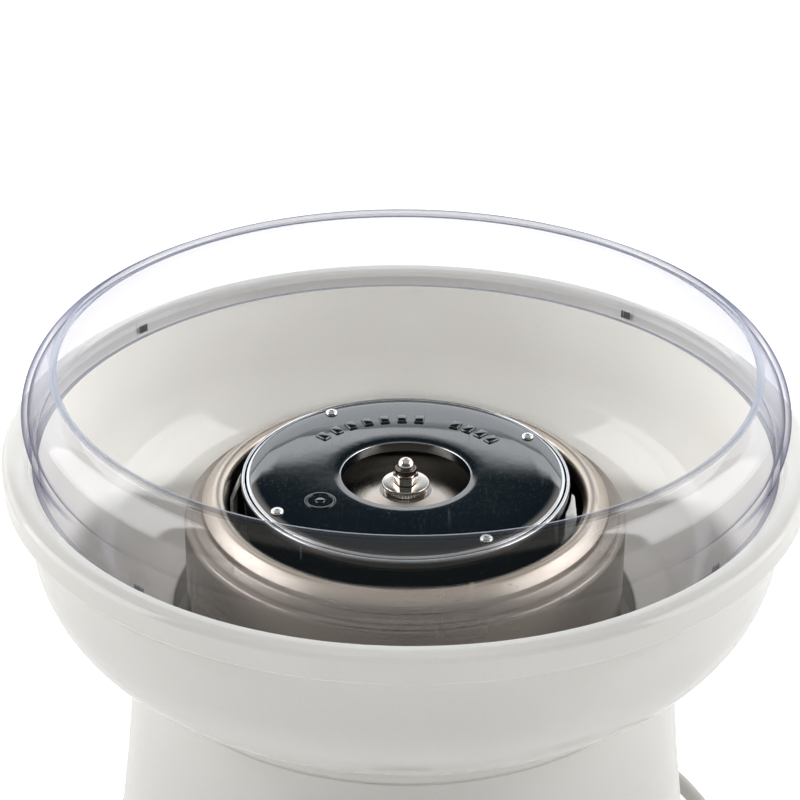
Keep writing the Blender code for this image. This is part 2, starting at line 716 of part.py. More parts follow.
def add_switch():
    """Rocker switch: a bezel that follows the drum, and a rocker that tips about X."""
    black = material("switch_black", (0.03, 0.03, 0.03), 0.35)
    face = -2.6 * MM
    back = 9 * MM
    bezel = finish_part(switch_block(12.5 * MM, face, 6 * MM, 16.5 * MM), "switch_bezel", black)
    side = [(r + GAP / MM, z) for r, z in housing_side()]
    drum = turn(scaled([(0, 131.6)] + side + [(0, 10)]), LARGE, closed=False)
    cut(bezel, drum)
    join(bezel, switch_block(9.0 * MM, face + 0.8 * MM, back, 13.0 * MM))
    cut(bezel, switch_block(6.9 * MM, face - MM, back - 1.6 * MM, 10.6 * MM))
    rocker = outline_plate(rocker_outline(), 13 * MM)
    rocker.rotation_euler = (0, math.pi / 2, 0)
    bpy.context.view_layer.update()
    rocker.data.transform(rocker.matrix_world)
    rocker.rotation_euler = (ROCKER_REST, 0, 0)
    finish_part(in_switch_frame(rocker), "switch_rocker", black)


def rocker_outline():
    """Side view of the rocker about its pivot: two sloping faces meeting in a shallow valley."""
    reach = 10.0 * MM
    end = arc((0, 0), reach, -24, 24, 4)
    other_end = [(-x, y) for x, y in reversed(end)]
    return [(0, -2.4 * MM)] + end + [(0, 6 * MM)] + other_end


# Cord and wiring


def add_cord():
    """Mains cord laid round the back of the base, with its strain relief and two-pin plug."""
    vinyl = material("cord_vinyl", (0.80, 0.80, 0.78), 0.45)
    brass = material("pin_brass", (0.72, 0.68, 0.55), 0.25, 1.0)
    bore = CORD_R + GAP
    sleeve = [(4.4, 127), (5.6, 114), (9.0, 113.5), (9.0, 110.9), (6.0, 110.9), (6.0, 100)]
    profile = [(r * MM, (z - 100) * MM) for r, z in sleeve]
    profile += [(bore, 0), (bore, 27 * MM)]
    relief = turn(profile, SMALL)
    relief.rotation_euler.x = -math.pi / 2
    relief.location = (CORD_EXIT_X, 100 * MM, CORD_EXIT_Z)
    finish_part(relief, "strain_relief", vinyl)

    lay = CORD_R + GAP
    circle = 133 * MM
    halfway = (CORD_EXIT_X + 5 * MM, 137.5 * MM, 24 * MM)
    corners = [
        (CORD_EXIT_X - 60 * MM, 72 * MM, 30 * MM),
        (CORD_EXIT_X, 86 * MM, CORD_EXIT_Z),
        (CORD_EXIT_X, 138 * MM, CORD_EXIT_Z),
        halfway,
    ]
    path = rounded_path(corners, 8 * MM)
    landing = [
        halfway,
        (CORD_EXIT_X + 10 * MM, 136 * MM, 9 * MM),
        (*polar(circle, 60), lay),
        (*polar(circle, 54), lay),
    ]
    path += rounded_path(landing, 14 * MM)[1:]
    first, last, steps = 48, -6, 9
    for step in range(steps):
        path.append((*polar(circle, first + (last - first) * step / steps), lay))
    plug_azimuth, plug_radius, plug_end = -33, 132 * MM, 19 * MM
    ending = [(*polar(circle, last), lay)]
    for along in (plug_end + 15 * MM, plug_end + GAP):
        azimuth = plug_azimuth + math.degrees(math.atan2(along, plug_radius))
        ending.append((*polar(math.hypot(along, plug_radius), azimuth), lay))
    path += rounded_path(ending, 12 * MM)
    tube("power_cord", path, CORD_R, vinyl)

    plug = box((-8 * MM, -plug_end, 0), (8 * MM, plug_end, 13 * MM))
    plug.location = (plug_radius, 0, 7 * MM)
    swing(bevelled(plug, 3 * MM), plug_azimuth)
    finish_part(plug, "plug_body", vinyl)
    for number, offset in ((1, -4.5 * MM), (2, 4.5 * MM)):
        bore_tool = round_bar(2.3 * MM, -8 * MM, 8 * MM, 12)
        bore_tool.rotation_euler.x = math.pi / 2
        bore_tool.location = (plug_radius + offset, -plug_end, 7 * MM)
        cut(plug, swing(bore_tool, plug_azimuth))
        pin = round_bar(2.0 * MM, -12 * MM, 12 * MM, 12)
        pin.rotation_euler.x = math.pi / 2
        pin.location = (plug_radius + offset, -23 * MM, 7 * MM)
        finish_part(bevelled(swing(pin, plug_azimuth), 0.5 * MM), f"plug_pin_{number}", brass)


def add_leads():
    """Insulated wires from the switch to the motor and to the thermal cut-out."""
    red = material("lead_red", (0.45, 0.05, 0.04), 0.4)
    blue = material("lead_blue", (0.05, 0.12, 0.40), 0.4)
    heater_path = [
        (5 * MM, -97 * MM, SWITCH_Z),
        (5 * MM, -80 * MM, SWITCH_Z),
        (37.2 * MM, -30 * MM, 90 * MM),
        (37.2 * MM, -2 * MM, 108 * MM),
        (37.2 * MM, -2 * MM, 128 * MM),
        (28 * MM, 0, 134 * MM),
        (28 * MM, 0, 139.5 * MM),
    ]
    tube("heater_lead", rounded_path(heater_path, 8 * MM), 1.3 * MM, red)
    motor_path = [
        (-5 * MM, -97 * MM, SWITCH_Z),
        (-5 * MM, -80 * MM, SWITCH_Z),
        (-30 * MM, -52 * MM, 80 * MM),
        (-29 * MM, -20 * MM, 84 * MM),
    ]
    tube("motor_lead", rounded_path(motor_path, 8 * MM), 1.3 * MM, blue)


clear_scene()
machine = new_collection("cotton_candy_machine")
cutters = new_collection("cutters")

add_bowl()
add_rim_shield()
add_head()
add_shaft(add_shaft_end())
add_base_housing()
add_shroud()
add_heat_shield()
add_heater()
add_ceramics()
add_terminal_bracket()
add_thermal_cutout()
add_bottom()
add_motor()
add_motor_mounting()
add_cooling_fan()
add_switch()
add_cord()
add_leads()
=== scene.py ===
"""The looks of a cotton candy machine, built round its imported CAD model.

Metres, +Z up, front towards -Y. Profiles of turned pieces are in millimetres: (radius, height
above the bowl's rim plane), with a third number where the corner is rounded.
"""

import json
import math

import bmesh
import bpy
from mathutils import Matrix, Vector


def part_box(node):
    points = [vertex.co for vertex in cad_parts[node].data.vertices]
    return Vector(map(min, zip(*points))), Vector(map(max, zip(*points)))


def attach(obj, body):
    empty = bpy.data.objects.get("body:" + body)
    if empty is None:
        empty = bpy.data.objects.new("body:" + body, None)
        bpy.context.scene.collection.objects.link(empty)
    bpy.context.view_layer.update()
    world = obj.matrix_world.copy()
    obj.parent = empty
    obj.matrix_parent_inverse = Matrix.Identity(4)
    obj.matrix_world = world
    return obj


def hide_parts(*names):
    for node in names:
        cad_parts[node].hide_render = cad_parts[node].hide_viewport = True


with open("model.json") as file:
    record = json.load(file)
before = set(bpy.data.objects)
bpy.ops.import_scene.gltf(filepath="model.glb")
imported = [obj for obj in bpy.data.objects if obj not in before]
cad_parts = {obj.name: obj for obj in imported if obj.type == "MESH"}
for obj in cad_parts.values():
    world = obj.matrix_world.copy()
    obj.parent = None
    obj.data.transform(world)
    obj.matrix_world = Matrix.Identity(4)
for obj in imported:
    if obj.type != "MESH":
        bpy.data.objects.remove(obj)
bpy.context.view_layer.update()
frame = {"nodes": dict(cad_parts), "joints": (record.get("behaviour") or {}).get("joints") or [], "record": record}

MM = 0.001
FACETS = 256
SMALL_FACETS = 64
LIE_DOWN = Matrix.Rotation(math.pi / 2, 4, "X")  # from upright to along Y

# Heights and places that the CAD model fixes
RIM_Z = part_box("bowl")[1].z - 0.2 * MM
DECK_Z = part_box("shroud")[0].z - 0.3 * MM
HAT_TOP_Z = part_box("heat_shield")[1].z
SWITCH_JOINT = next(joint for joint in frame["joints"] if joint["name"] == "switch_rock")
PIVOT_Y, SWITCH_Z = SWITCH_JOINT["pos_m"][1:]


# Mesh tools


def new_mesh(name, bm):
    """Turns finished mesh-edit data into a mesh."""
    mesh = bpy.data.meshes.new(name)
    bm.to_mesh(mesh)
    bm.free()
    return mesh


def link(name, mesh):
    """A new object in the scene that shows a mesh."""
    obj = bpy.data.objects.new(name, mesh)
    bpy.context.scene.collection.objects.link(obj)
    return obj


def smooth(obj, angle=40):
    """Smooth shading, with edges sharper than the angle kept crisp."""
    obj.data.shade_smooth()
    obj.data.set_sharp_from_angle(angle=math.radians(angle))
    return obj


def arc(centre, radius, start, end, count):
    """Profile points on an arc; angles in degrees from the outward direction."""
    points = []
    for step in range(count):
        angle = math.radians(start + (end - start) * step / (count - 1))
        points.append((centre[0] + radius * math.cos(angle), centre[1] + radius * math.sin(angle)))
    return points


def corner_curve(before, corner, after, reach, share, steps):
    """Points of the curve that replaces a corner. It takes up at most a share of each side."""
    into, out = before - corner, after - corner
    reach = min(reach, into.length * share, out.length * share)
    start = corner + into.normalized() * reach
    end = corner + out.normalized() * reach
    fractions = [step / steps for step in range(steps + 1)]
    return [start * (1 - t) ** 2 + corner * 2 * t * (1 - t) + end * t * t for t in fractions]


def rounded(points, closed=True, steps=5):
    """Replaces each corner that has a radius, its third number, by a short curve."""
    result = []
    count = len(points)
    for i, point in enumerate(points):
        at_end = not closed and i in (0, count - 1)
        if len(point) < 3 or at_end:
            result.append(tuple(point[:2]))
            continue
        corner = Vector(point[:2])
        before, after = Vector(points[i - 1][:2]), Vector(points[(i + 1) % count][:2])
        reach = point[2] / math.tan((before - corner).angle(after - corner) / 2)
        result += [tuple(p) for p in corner_curve(before, corner, after, reach, 0.48, steps)]
    return result


def lathe_mesh(name, profile, facets=FACETS, closed=True, base_z=None, shape=None):
    """Turns a profile round Z. base_z is the height of the profile's zero, in metres.

    shape(azimuth, r, z) may move a point: it returns the new r and z.
    """
    base_z = RIM_Z if base_z is None else base_z
    bm = bmesh.new()
    rings = []
    for r, z in profile:
        if r < 1e-6:
            rings.append([bm.verts.new((0, 0, z * MM + base_z))])
            continue
        ring = []
        for step in range(facets):
            azimuth = 2 * math.pi * step / facets
            pr, pz = shape(azimuth, r, z) if shape else (r, z)
            x, y = pr * math.cos(azimuth), pr * math.sin(azimuth)
            ring.append(bm.verts.new((x * MM, y * MM, pz * MM + base_z)))
        rings.append(ring)
    pairs = list(zip(rings, rings[1:]))
    if closed:
        pairs.append((rings[-1], rings[0]))
    for upper, lower in pairs:
        for step in range(facets):
            after = (step + 1) % facets
            if len(upper) == 1:
                bm.faces.new((upper[0], lower[step], lower[after]))
            elif len(lower) == 1:
                bm.faces.new((upper[step], lower[0], upper[after]))
            else:
                bm.faces.new((upper[step], lower[step], lower[after], upper[after]))
    bmesh.ops.recalc_face_normals(bm, faces=bm.faces)
    return new_mesh(name, bm)


def lathe(name, points, facets=FACETS, closed=True, base_z=None, shape=None):
    """A turned object from a profile whose corners may be rounded."""
    mesh = lathe_mesh(name, rounded(points, closed), facets, closed, base_z, shape)
    return smooth(link(name, mesh))


def box(name, low, high):
    """A block between two corners, as a tool or as a start for bevels and cuts."""
    bm = bmesh.new()
    bmesh.ops.create_cube(bm, size=1)
    size = Vector(high) - Vector(low)
    middle = (Vector(high) + Vector(low)) / 2
    for vert in bm.verts:
        vert.co = Vector(a * b for a, b in zip(vert.co, size)) + middle
    return link(name, new_mesh(name, bm))


def cylinder(name, radius, low, high, facets=SMALL_FACETS):
    """An upright cylinder about Z between two heights in metres."""
    points = [(0, high / MM), (radius / MM, high / MM), (radius / MM, low / MM), (0, low / MM)]
    return link(name, lathe_mesh(name, points, facets, False, 0.0))


def extrude(name, outline, thickness):
    """A flat outline in XY thickened evenly both ways along Z; all in metres."""
    bm = bmesh.new()
    bottom = [bm.verts.new((x, y, -thickness / 2)) for x, y in outline]
    top = [bm.verts.new((x, y, thickness / 2)) for x, y in outline]
    bm.faces.new(bottom)
    bm.faces.new(top)
    for i in range(len(outline)):
        bm.faces.new((bottom[i - 1], bottom[i], top[i], top[i - 1]))
    bmesh.ops.recalc_face_normals(bm, faces=bm.faces)
    return link(name, new_mesh(name, bm))


def turn_in_place(obj, matrix):
    """Moves the mesh, so that the object itself stays at the origin."""
    obj.data.transform(matrix)
    return obj


def about_z(obj, degrees):
    """Swings the mesh round the machine's axis."""
    return turn_in_place(obj, Matrix.Rotation(math.radians(degrees), 4, "Z"))


def apply_modifiers(obj):
    """Writes the modifiers' result into the object's mesh."""
    bpy.context.view_layer.update()
    graph = bpy.context.evaluated_depsgraph_get()
    mesh = bpy.data.meshes.new_from_object(obj.evaluated_get(graph))
    obj.modifiers.clear()
    obj.data = mesh
    return obj


def bevel(obj, width, segments=3, angle=30):
    """Rounds the edges sharper than the angle."""
    modifier = obj.modifiers.new("Bevel", "BEVEL")
    modifier.width = width
    modifier.segments = segments
    modifier.limit_method = "ANGLE"
    modifier.angle_limit = math.radians(angle)
    return smooth(apply_modifiers(obj))


def combine(obj, tools, operation):
    """Joins or cuts with each tool in turn, and removes the tools."""
    for tool in tools:
        modifier = obj.modifiers.new("Boolean", "BOOLEAN")
        modifier.operation = operation
        modifier.object = tool
    apply_modifiers(obj)
    for tool in tools:
        bpy.data.objects.remove(tool, do_unlink=True)
    return smooth(obj)


def merge(obj, others):
    """Adds the meshes of other objects to one object, and removes them."""
    bm = bmesh.new()
    bm.from_mesh(obj.data)
    for other in others:
        bm.from_mesh(other.data)
    bm.to_mesh(obj.data)
    bm.free()
    for other in others:
        bpy.data.objects.remove(other, do_unlink=True)
    return smooth(obj)


def rounded_path(corners, radius, steps=10):
    """A polyline whose corners are replaced by short curves."""
    corners = [Vector(corner) for corner in corners]
    points = corners[:1]
    for before, corner, after in zip(corners, corners[1:], corners[2:]):
        points += corner_curve(before, corner, after, radius, 0.45, steps)
    return points + corners[-1:]


def tube(name, path, radius, sides=24):
    """A round tube swept along a path and closed by flat ends."""
    bm = bmesh.new()
    rings = []
    normal = None
    for i, point in enumerate(path):
        ahead = path[min(i + 1, len(path) - 1)]
        behind = path[max(i - 1, 0)]
        tangent = (ahead - behind).normalized()
        if normal is None:
            normal = tangent.orthogonal().normalized()
        normal = (normal - tangent * normal.dot(tangent)).normalized()
        side = tangent.cross(normal)
        ring = []
        for step in range(sides):
            a = 2 * math.pi * step / sides
            ring.append(bm.verts.new(point + (normal * math.cos(a) + side * math.sin(a)) * radius))
        rings.append(ring)
    for one, two in zip(rings, rings[1:]):
        for step in range(sides):
            after = (step + 1) % sides
            bm.faces.new((one[step], one[after], two[after], two[step]))
    bm.faces.new(rings[0])
    bm.faces.new(rings[-1])
    bmesh.ops.recalc_face_normals(bm, faces=bm.faces)
    return smooth(link(name, new_mesh(name, bm)))


def polar(radius, degrees):
    """The x and y of a point at a radius and an azimuth."""
    angle = math.radians(degrees)
    return radius * math.cos(angle), radius * math.sin(angle)


def dress(obj, node, body, slot, *surfaces):
    """Gives a piece its materials, by default the one named after its slot, and its body, and hides the CAD node
    it stands for.

    surfaces names the materials of the mesh's indices, where there are more than the slot's own.
    """
    for name in surfaces or (slot,):
        obj.data.materials.append(SURFACES[name])
    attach(obj, body)
    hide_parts(node)
    return obj


# Materials


def add_node(tree, kind, inputs=None, **attributes):
    """A shader node whose inputs are linked to sockets or set to values."""
    made = tree.nodes.new(kind)
    for key, value in attributes.items():
        setattr(made, key, value)
    for key, value in (inputs or {}).items():
        if isinstance(value, bpy.types.NodeSocket):
            tree.links.new(value, made.inputs[key])
        else:
            made.inputs[key].default_value = value
    return made


class Surface:
    """A Principled material with procedural layers added one after another."""

    def __init__(self, colour, roughness, metallic=0.0, **settings):
        self.material = bpy.data.materials.new("surface")
        self.material.use_nodes = True
        self.tree = self.material.node_tree
        self.shader = self.tree.nodes["Principled BSDF"]
        self.colour = colour
        self.roughness = roughness
        self.shader.inputs["Base Color"].default_value = (*colour, 1)
        self.shader.inputs["Roughness"].default_value = roughness
        self.shader.inputs["Metallic"].default_value = metallic
        for key, value in settings.items():
            self.shader.inputs[key.replace("_", " ")].default_value = value
        self.coords = self.node("ShaderNodeTexCoord").outputs["Object"]
        self.bump_out = None
        self.colour_out = None
        self.rough_out = None

    def node(self, kind, inputs=None, **attributes):
        return add_node(self.tree, kind, inputs, **attributes)

    def math(self, operation, a, b=0.0, clamp=False):
        made = self.node("ShaderNodeMath", {0: a, 1: b}, operation=operation, use_clamp=clamp)
        return made.outputs[0]

    def spun(self, along=1.0, across=1.0):
        """Coordinates that run round the axis, for grain left by turning: (azimuth, r, z)."""
        split = self.node("ShaderNodeSeparateXYZ", {0: self.coords})
        x, y, z = split.outputs
        azimuth = self.math("ARCTAN2", y, x)
        square = self.math("ADD", self.math("MULTIPLY", x, x), self.math("MULTIPLY", y, y))
        radius = self.math("SQRT", square)
        return self.node(
            "ShaderNodeCombineXYZ",
            {
                0: self.math("MULTIPLY", azimuth, along),
                1: self.math("MULTIPLY", radius, across),
                2: self.math("MULTIPLY", z, across),
            },
        ).outputs[0]

    def stretched(self, scale, turn=0.0):
        """Object coordinates scaled unevenly, for streaks and scratches."""
        return self.node(
            "ShaderNodeMapping",
            {"Vector": self.coords, "Scale": scale, "Rotation": (turn, turn * 1.7, turn * 2.3)},
        ).outputs[0]

    def noise(self, scale, detail=3.0, coords=None, low=0.0, high=1.0, soft=0.5):
        """Noise of about 1/scale metres, its contrast set by the low and high marks."""
        made = self.node(
            "ShaderNodeTexNoise",
            {
                "Vector": coords or self.coords,
                "Scale": scale,
                "Detail": detail,
                "Roughness": soft,
            },
        )
        if (low, high) == (0.0, 1.0):
            return made.outputs["Fac"]
        return self.node(
            "ShaderNodeMapRange",
            {"Value": made.outputs["Fac"], "From Min": low, "From Max": high},
        ).outputs[0]

    def mix(self, factor, a, b):
        """Blends two colours, each a value or a socket."""
        made = self.node("ShaderNodeMix", {"Factor": factor}, data_type="RGBA")
        for socket, value in ((made.inputs[6], a), (made.inputs[7], b)):
            if isinstance(value, bpy.types.NodeSocket):
                self.tree.links.new(value, socket)
            else:
                socket.default_value = (*value, 1)
        return made.outputs[2]

    def tint(self, factor, colour):
        """Lays another colour over what is there, by a factor."""
        self.colour_out = self.mix(factor, self.colour_out or self.colour, colour)
        self.tree.links.new(self.colour_out, self.shader.inputs["Base Color"])
        return self

    def rough(self, factor, change):
        """Adds factor times change to the roughness."""
        base = self.rough_out if self.rough_out is not None else self.roughness
        self.rough_out = self.math("ADD", self.math("MULTIPLY", factor, change), base, clamp=True)
        self.tree.links.new(self.rough_out, self.shader.inputs["Roughness"])
        return self

    def bump(self, height, distance, strength=1.0):
        """Adds relief, as deep as the distance in metres, to what is there."""
        inputs = {"Height": height, "Distance": distance, "Strength": strength}
        if self.bump_out is not None:
            inputs["Normal"] = self.bump_out
        self.bump_out = self.node("ShaderNodeBump", inputs).outputs[0]
        self.tree.links.new(self.bump_out, self.shader.inputs["Normal"])
        return self

    def scratches(self, amount, distance, count=3, scale=260.0):
        """Fine straight scratches in a few directions, and their height in the bump."""
        for i in range(count):
            turn = 0.6 + 1.3 * i
            coords = self.stretched((1.0, 0.08, 0.08), turn)
            streak = self.noise(scale * (1 + 0.4 * i), 2, coords, 0.66, 0.72)
            patch = self.noise(25 + 9 * i, 1, None, 0.5, 0.62)
            both = self.math("MULTIPLY", streak, patch)
            self.rough(both, amount)
            self.bump(both, -distance)
        return self

    def tangent(self):
        """Makes an anisotropic highlight run round the axis."""
        made = self.node("ShaderNodeTangent", direction_type="RADIAL", axis="Z")
        self.tree.links.new(made.outputs[0], self.shader.inputs["Tangent"])
        return self


def set_ramp(ramp, stops):
    """Fills a colour ramp with (position, colour) stops."""
    elements = ramp.color_ramp.elements
    while len(elements) < len(stops):
        elements.new(0.5)
    for element, (position, colour) in zip(elements, stops):
        element.position = position
        element.color = (*colour, 1)


def moulded_plastic(colour, roughness, shade, grain=0.00003, wear=0.06):
    """Plastic with a slow change of shade, specks, a moulded grain and faint scratches."""
    s = Surface(colour, roughness, Specular_IOR_Level=0.4)
    s.tint(s.noise(14, 3, low=0.35, high=0.7), shade)
    specks = s.noise(1500, 1, low=0.68, high=0.74)
    s.tint(s.math("MULTIPLY", specks, 0.25), [c * 0.75 for c in shade])
    s.rough(s.noise(35, 4, low=0.3, high=0.75), 0.03)
    s.bump(s.noise(420, 2), grain)
    s.bump(s.noise(45, 2), grain * 6, 0.6)
    s.scratches(wear, 0.0000005, 2)
    return s.material


def dark_plastic(colour, roughness=0.5):
    """Matt moulded plastic with a coarser grain."""
    shade = [c * 0.8 for c in colour]
    return moulded_plastic(colour, roughness, shade, 0.00004)


def clear_plastic(body, haze, edge_haze, edge_gloss, milk=(0.85, 0.86, 0.9)):
    """Clear walls: light goes straight through, greyer and bluer the more it grazes a wall; this darkening is
    painted shade.

    body is how much light a surface lets through, haze is how milky it is, and edge_haze and
    edge_gloss are how milky and how much of a mirror it is where it is seen edge on. milk is
    the colour of the haze.
    """
    s = Surface((1, 1, 1), 0.0)
    wave = s.node("ShaderNodeBump", {"Height": s.noise(30, 1), "Distance": 0.00005}).outputs[0]
    facing = s.node("ShaderNodeLayerWeight", {"Blend": 0.5, "Normal": wave}).outputs["Facing"]
    ramp = s.node("ShaderNodeValToRGB", {"Fac": facing})
    # Painted shade: what shows through darkens to navy towards grazing. It stands in for the dark surroundings
    # that thick walls bend into view.
    stops = [
        (0.0, (0.955, 0.955, 0.96)),
        (0.77, (0.88, 0.88, 0.91)),
        (0.87, (0.46, 0.46, 0.58)),
        (0.94, (0.17, 0.18, 0.30)),
        (1.0, (0.03, 0.04, 0.13)),
    ]
    set_ramp(ramp, [(place, [body * c for c in colour]) for place, colour in stops])
    clear = s.node("ShaderNodeBsdfTransparent", {"Color": ramp.outputs[0]})
    gloss = s.node("ShaderNodeBsdfGlossy", {"Roughness": 0.02, "Normal": wave})
    grazing = s.math("MULTIPLY", s.math("POWER", facing, 5.0), edge_gloss)
    mirror = s.math("ADD", grazing, 0.045)
    both = s.node("ShaderNodeMixShader", {0: mirror, 1: clear.outputs[0], 2: gloss.outputs[0]})
    scratch = s.noise(900, 1, s.stretched((1.0, 0.05, 0.05), 0.9), 0.70, 0.76)
    scratch = s.math("MULTIPLY", scratch, s.noise(60, 1, low=0.55, high=0.65))
    specks = s.noise(900, 1, low=0.76, high=0.80)
    from_edge = {"Value": facing, "From Min": 0.3, "From Max": 0.6}
    edge = s.node("ShaderNodeMapRange", from_edge).outputs[0]
    haze = s.math("ADD", s.math("MULTIPLY", edge, edge_haze), haze)
    haze = s.math("ADD", s.math("MULTIPLY", s.math("MAXIMUM", scratch, specks), 0.05), haze)
    dust = s.node("ShaderNodeBsdfDiffuse", {"Color": (*milk, 1)})
    worn = s.node("ShaderNodeMixShader", {0: haze, 1: both.outputs[0], 2: dust.outputs[0]})
    path = s.node("ShaderNodeLightPath")
    indirect = s.math("MAXIMUM", path.outputs["Is Shadow Ray"], path.outputs["Is Diffuse Ray"])
    pale = s.node("ShaderNodeBsdfTransparent", {"Color": (0.86, 0.865, 0.875, 1)})
    out = s.node("ShaderNodeMixShader", {0: indirect, 1: worn.outputs[0], 2: pale.outputs[0]})
    s.tree.links.new(out.outputs[0], s.tree.nodes["Material Output"].inputs["Surface"])
    s.tree.nodes.remove(s.shader)
    return s.material


def black_coating():
    """Glossy black enamel on metal, with orange peel, dust specks and fine scratches."""
    s = Surface((0.002, 0.0025, 0.003), 0.025, IOR=1.9)
    s.tint(s.noise(1100, 1, low=0.72, high=0.78), (0.04, 0.045, 0.05))
    s.rough(s.noise(40, 3, low=0.3, high=0.75), 0.03)
    s.bump(s.noise(200, 1), 0.000003)
    s.bump(s.noise(1500, 1, low=0.70, high=0.75), 0.000002)
    s.scratches(0.06, 0.0000003, 3, 700.0)
    return s.material


def turned_metal(colour, roughness, grain=0.000006, rings=2600.0):
    """Bare metal with the fine rings that a lathe tool leaves."""
    s = Surface(colour, roughness, 1.0, Anisotropic=0.55)
    fine = s.noise(1.0, 2, s.spun(0.6, rings), soft=0.6)
    s.tint(s.noise(30, 3, low=0.4, high=0.75), [c * 0.86 for c in colour])
    s.rough(s.noise(50, 3, low=0.35, high=0.75), 0.10)
    s.rough(s.math("SUBTRACT", fine, 0.5), 0.12)
    s.bump(fine, grain)
    s.scratches(0.15, 0.000008, 2)
    return s.tangent().material


def plain_metal(colour, roughness, grain=0.00001):
    """Rolled or plated metal with stains and short scratches."""
    s = Surface(colour, roughness, 1.0)
    s.tint(s.noise(90, 4, low=0.4, high=0.75), [c * 0.8 for c in colour])
    s.rough(s.noise(120, 4, low=0.35, high=0.75), 0.16)
    s.bump(s.noise(700, 3), grain)
    s.scratches(0.2, 0.00001, 3, 500.0)
    return s.material


def satin_steel():
    """Spun stainless sheet with painted shade below its lip: circular grain, slow dents and scratches."""
    s = Surface((0.56, 0.50, 0.44), 0.27, 1.0, Anisotropic=0.4)
    grain = s.noise(1.0, 3, s.spun(5.0, 3200.0), soft=0.7)
    s.tint(s.noise(18, 3, low=0.35, high=0.75), (0.49, 0.43, 0.37))
    s.tint(s.noise(600, 2, low=0.70, high=0.78), (0.25, 0.22, 0.19))
    # Painted shade: the wall below the lip is darkened by height. It stands in for the wall's dark reflection of
    # the bowl floor.
    height = s.node("ShaderNodeSeparateXYZ", {0: s.coords}).outputs[2]
    painted_shade_band = {"Value": height, "From Min": RIM_Z - 24.5 * MM, "From Max": RIM_Z - 29 * MM}
    painted_shade_under_lip = s.node("ShaderNodeMapRange", painted_shade_band).outputs[0]
    s.tint(s.math("MULTIPLY", painted_shade_under_lip, 0.9), (0.24, 0.21, 0.185))
    s.rough(s.noise(30, 4, low=0.35, high=0.75), 0.10)
    s.rough(s.math("SUBTRACT", grain, 0.5), 0.14)
    s.bump(grain, 0.000007)
    s.bump(s.noise(24, 1), 0.0006, 0.5)
    s.scratches(0.2, 0.000003, 3, 300.0)
    return s.tangent().material


def bracket_steel():
    """Dull, speckled zinc-coated strip."""
    s = Surface((0.62, 0.62, 0.60), 0.42, 0.35)
    s.tint(s.noise(1500, 3, low=0.45, high=0.7), (0.38, 0.38, 0.37))
    s.rough(s.noise(300, 3, low=0.35, high=0.75), 0.2)
    s.bump(s.noise(900, 3), 0.00006)
    return s.material


def ceramic():
    """Matt, slightly gritty and heat-stained ceramic."""
    s = Surface((0.80, 0.80, 0.78), 0.75)
    s.tint(s.noise(900, 3, low=0.45, high=0.7), (0.66, 0.66, 0.64))
    s.tint(s.noise(60, 2, low=0.55, high=0.8), (0.62, 0.58, 0.50))
    s.bump(s.noise(1300, 3), 0.00012)
    return s.material


def rubber(colour=(0.03, 0.03, 0.03)):
    """Dull rubber with pale bloom and a fine grain."""
    s = Surface(colour, 0.72)
    s.tint(s.noise(80, 4, low=0.4, high=0.75), [c * 1.8 for c in colour])
    s.bump(s.noise(1600, 2), 0.00005)
    return s.material


def soft_vinyl(colour):
    """Satin vinyl, as on cords and leads."""
    s = Surface(colour, 0.42)
    s.tint(s.noise(40, 3, low=0.4, high=0.75), [c * 0.9 for c in colour])
    s.rough(s.noise(90, 3), 0.15)
    s.bump(s.noise(900, 2), 0.00002)
    return s.material


CREAM_SHADE = (0.785, 0.765, 0.725)

# Finished materials by record slot, or by name for a detail of a piece
SURFACES = {
    "bowl_plastic": moulded_plastic((0.825, 0.81, 0.775), 0.035, CREAM_SHADE, 0.000004),
    "clear_plastic": clear_plastic(1.0, 0.0, 0.0, 0.26),
    # The bead lets less light through than the wall: painted shade for the dark line along the thick bead.
    "clear_bead": clear_plastic(0.73, 0.02, 0.5, 0.35, (0.46, 0.50, 0.60)),
    "cast_aluminium": turned_metal((0.60, 0.565, 0.53), 0.27, 0.00001, 1600.0),
    "bright_rim": turned_metal((0.60, 0.61, 0.63), 0.12),
    "black_coating": black_coating(),
    "rivet_aluminium": plain_metal((0.82, 0.83, 0.84), 0.18),
    "plated_steel": turned_metal((0.74, 0.68, 0.62), 0.12),
    # Dark grey for the outer faces of the shield's tab ribs: painted shade.
    "tab_painted_shade": dark_plastic((0.20, 0.20, 0.22), 0.5),
    "nut_collar": turned_metal((0.20, 0.17, 0.15), 0.2),
    "shaft_steel": turned_metal((0.58, 0.58, 0.58), 0.22),
    "base_plastic": moulded_plastic((0.80, 0.785, 0.75), 0.22, CREAM_SHADE, 0.00002, 0.015),
    "cover_plastic": dark_plastic((0.09, 0.09, 0.09)),
    "foot_rubber": rubber((0.035, 0.035, 0.037)),
    "screw_steel": plain_metal((0.55, 0.55, 0.54), 0.3),
    "satin_steel": satin_steel(),
    "galvanised_steel": plain_metal((0.40, 0.41, 0.42), 0.38),
    "heater_sheath": plain_metal((0.12, 0.10, 0.09), 0.5),
    "ceramic": ceramic(),
    "bracket_steel": bracket_steel(),
    "cutout_shell": plain_metal((0.68, 0.67, 0.64), 0.35),
    "motor_can_steel": turned_metal((0.42, 0.43, 0.45), 0.35),
    "motor_iron": plain_metal((0.12, 0.12, 0.13), 0.55),
    "bush_bronze": turned_metal((0.50, 0.34, 0.15), 0.3),
    "mount_rubber": rubber(),
    "fan_plastic": dark_plastic((0.60, 0.60, 0.57)),
    "switch_black": dark_plastic((0.012, 0.012, 0.013), 0.3),
    "switch_mark": soft_vinyl((0.75, 0.75, 0.73)),
    "cord_vinyl": soft_vinyl((0.66, 0.65, 0.62)),
    "pin_brass": plain_metal((0.66, 0.60, 0.45), 0.22),
    "lead_red": soft_vinyl((0.35, 0.03, 0.02)),
    "lead_blue": soft_vinyl((0.03, 0.07, 0.3)),
}
for slot, material in SURFACES.items():
    material.name = slot


# Bowl and shield


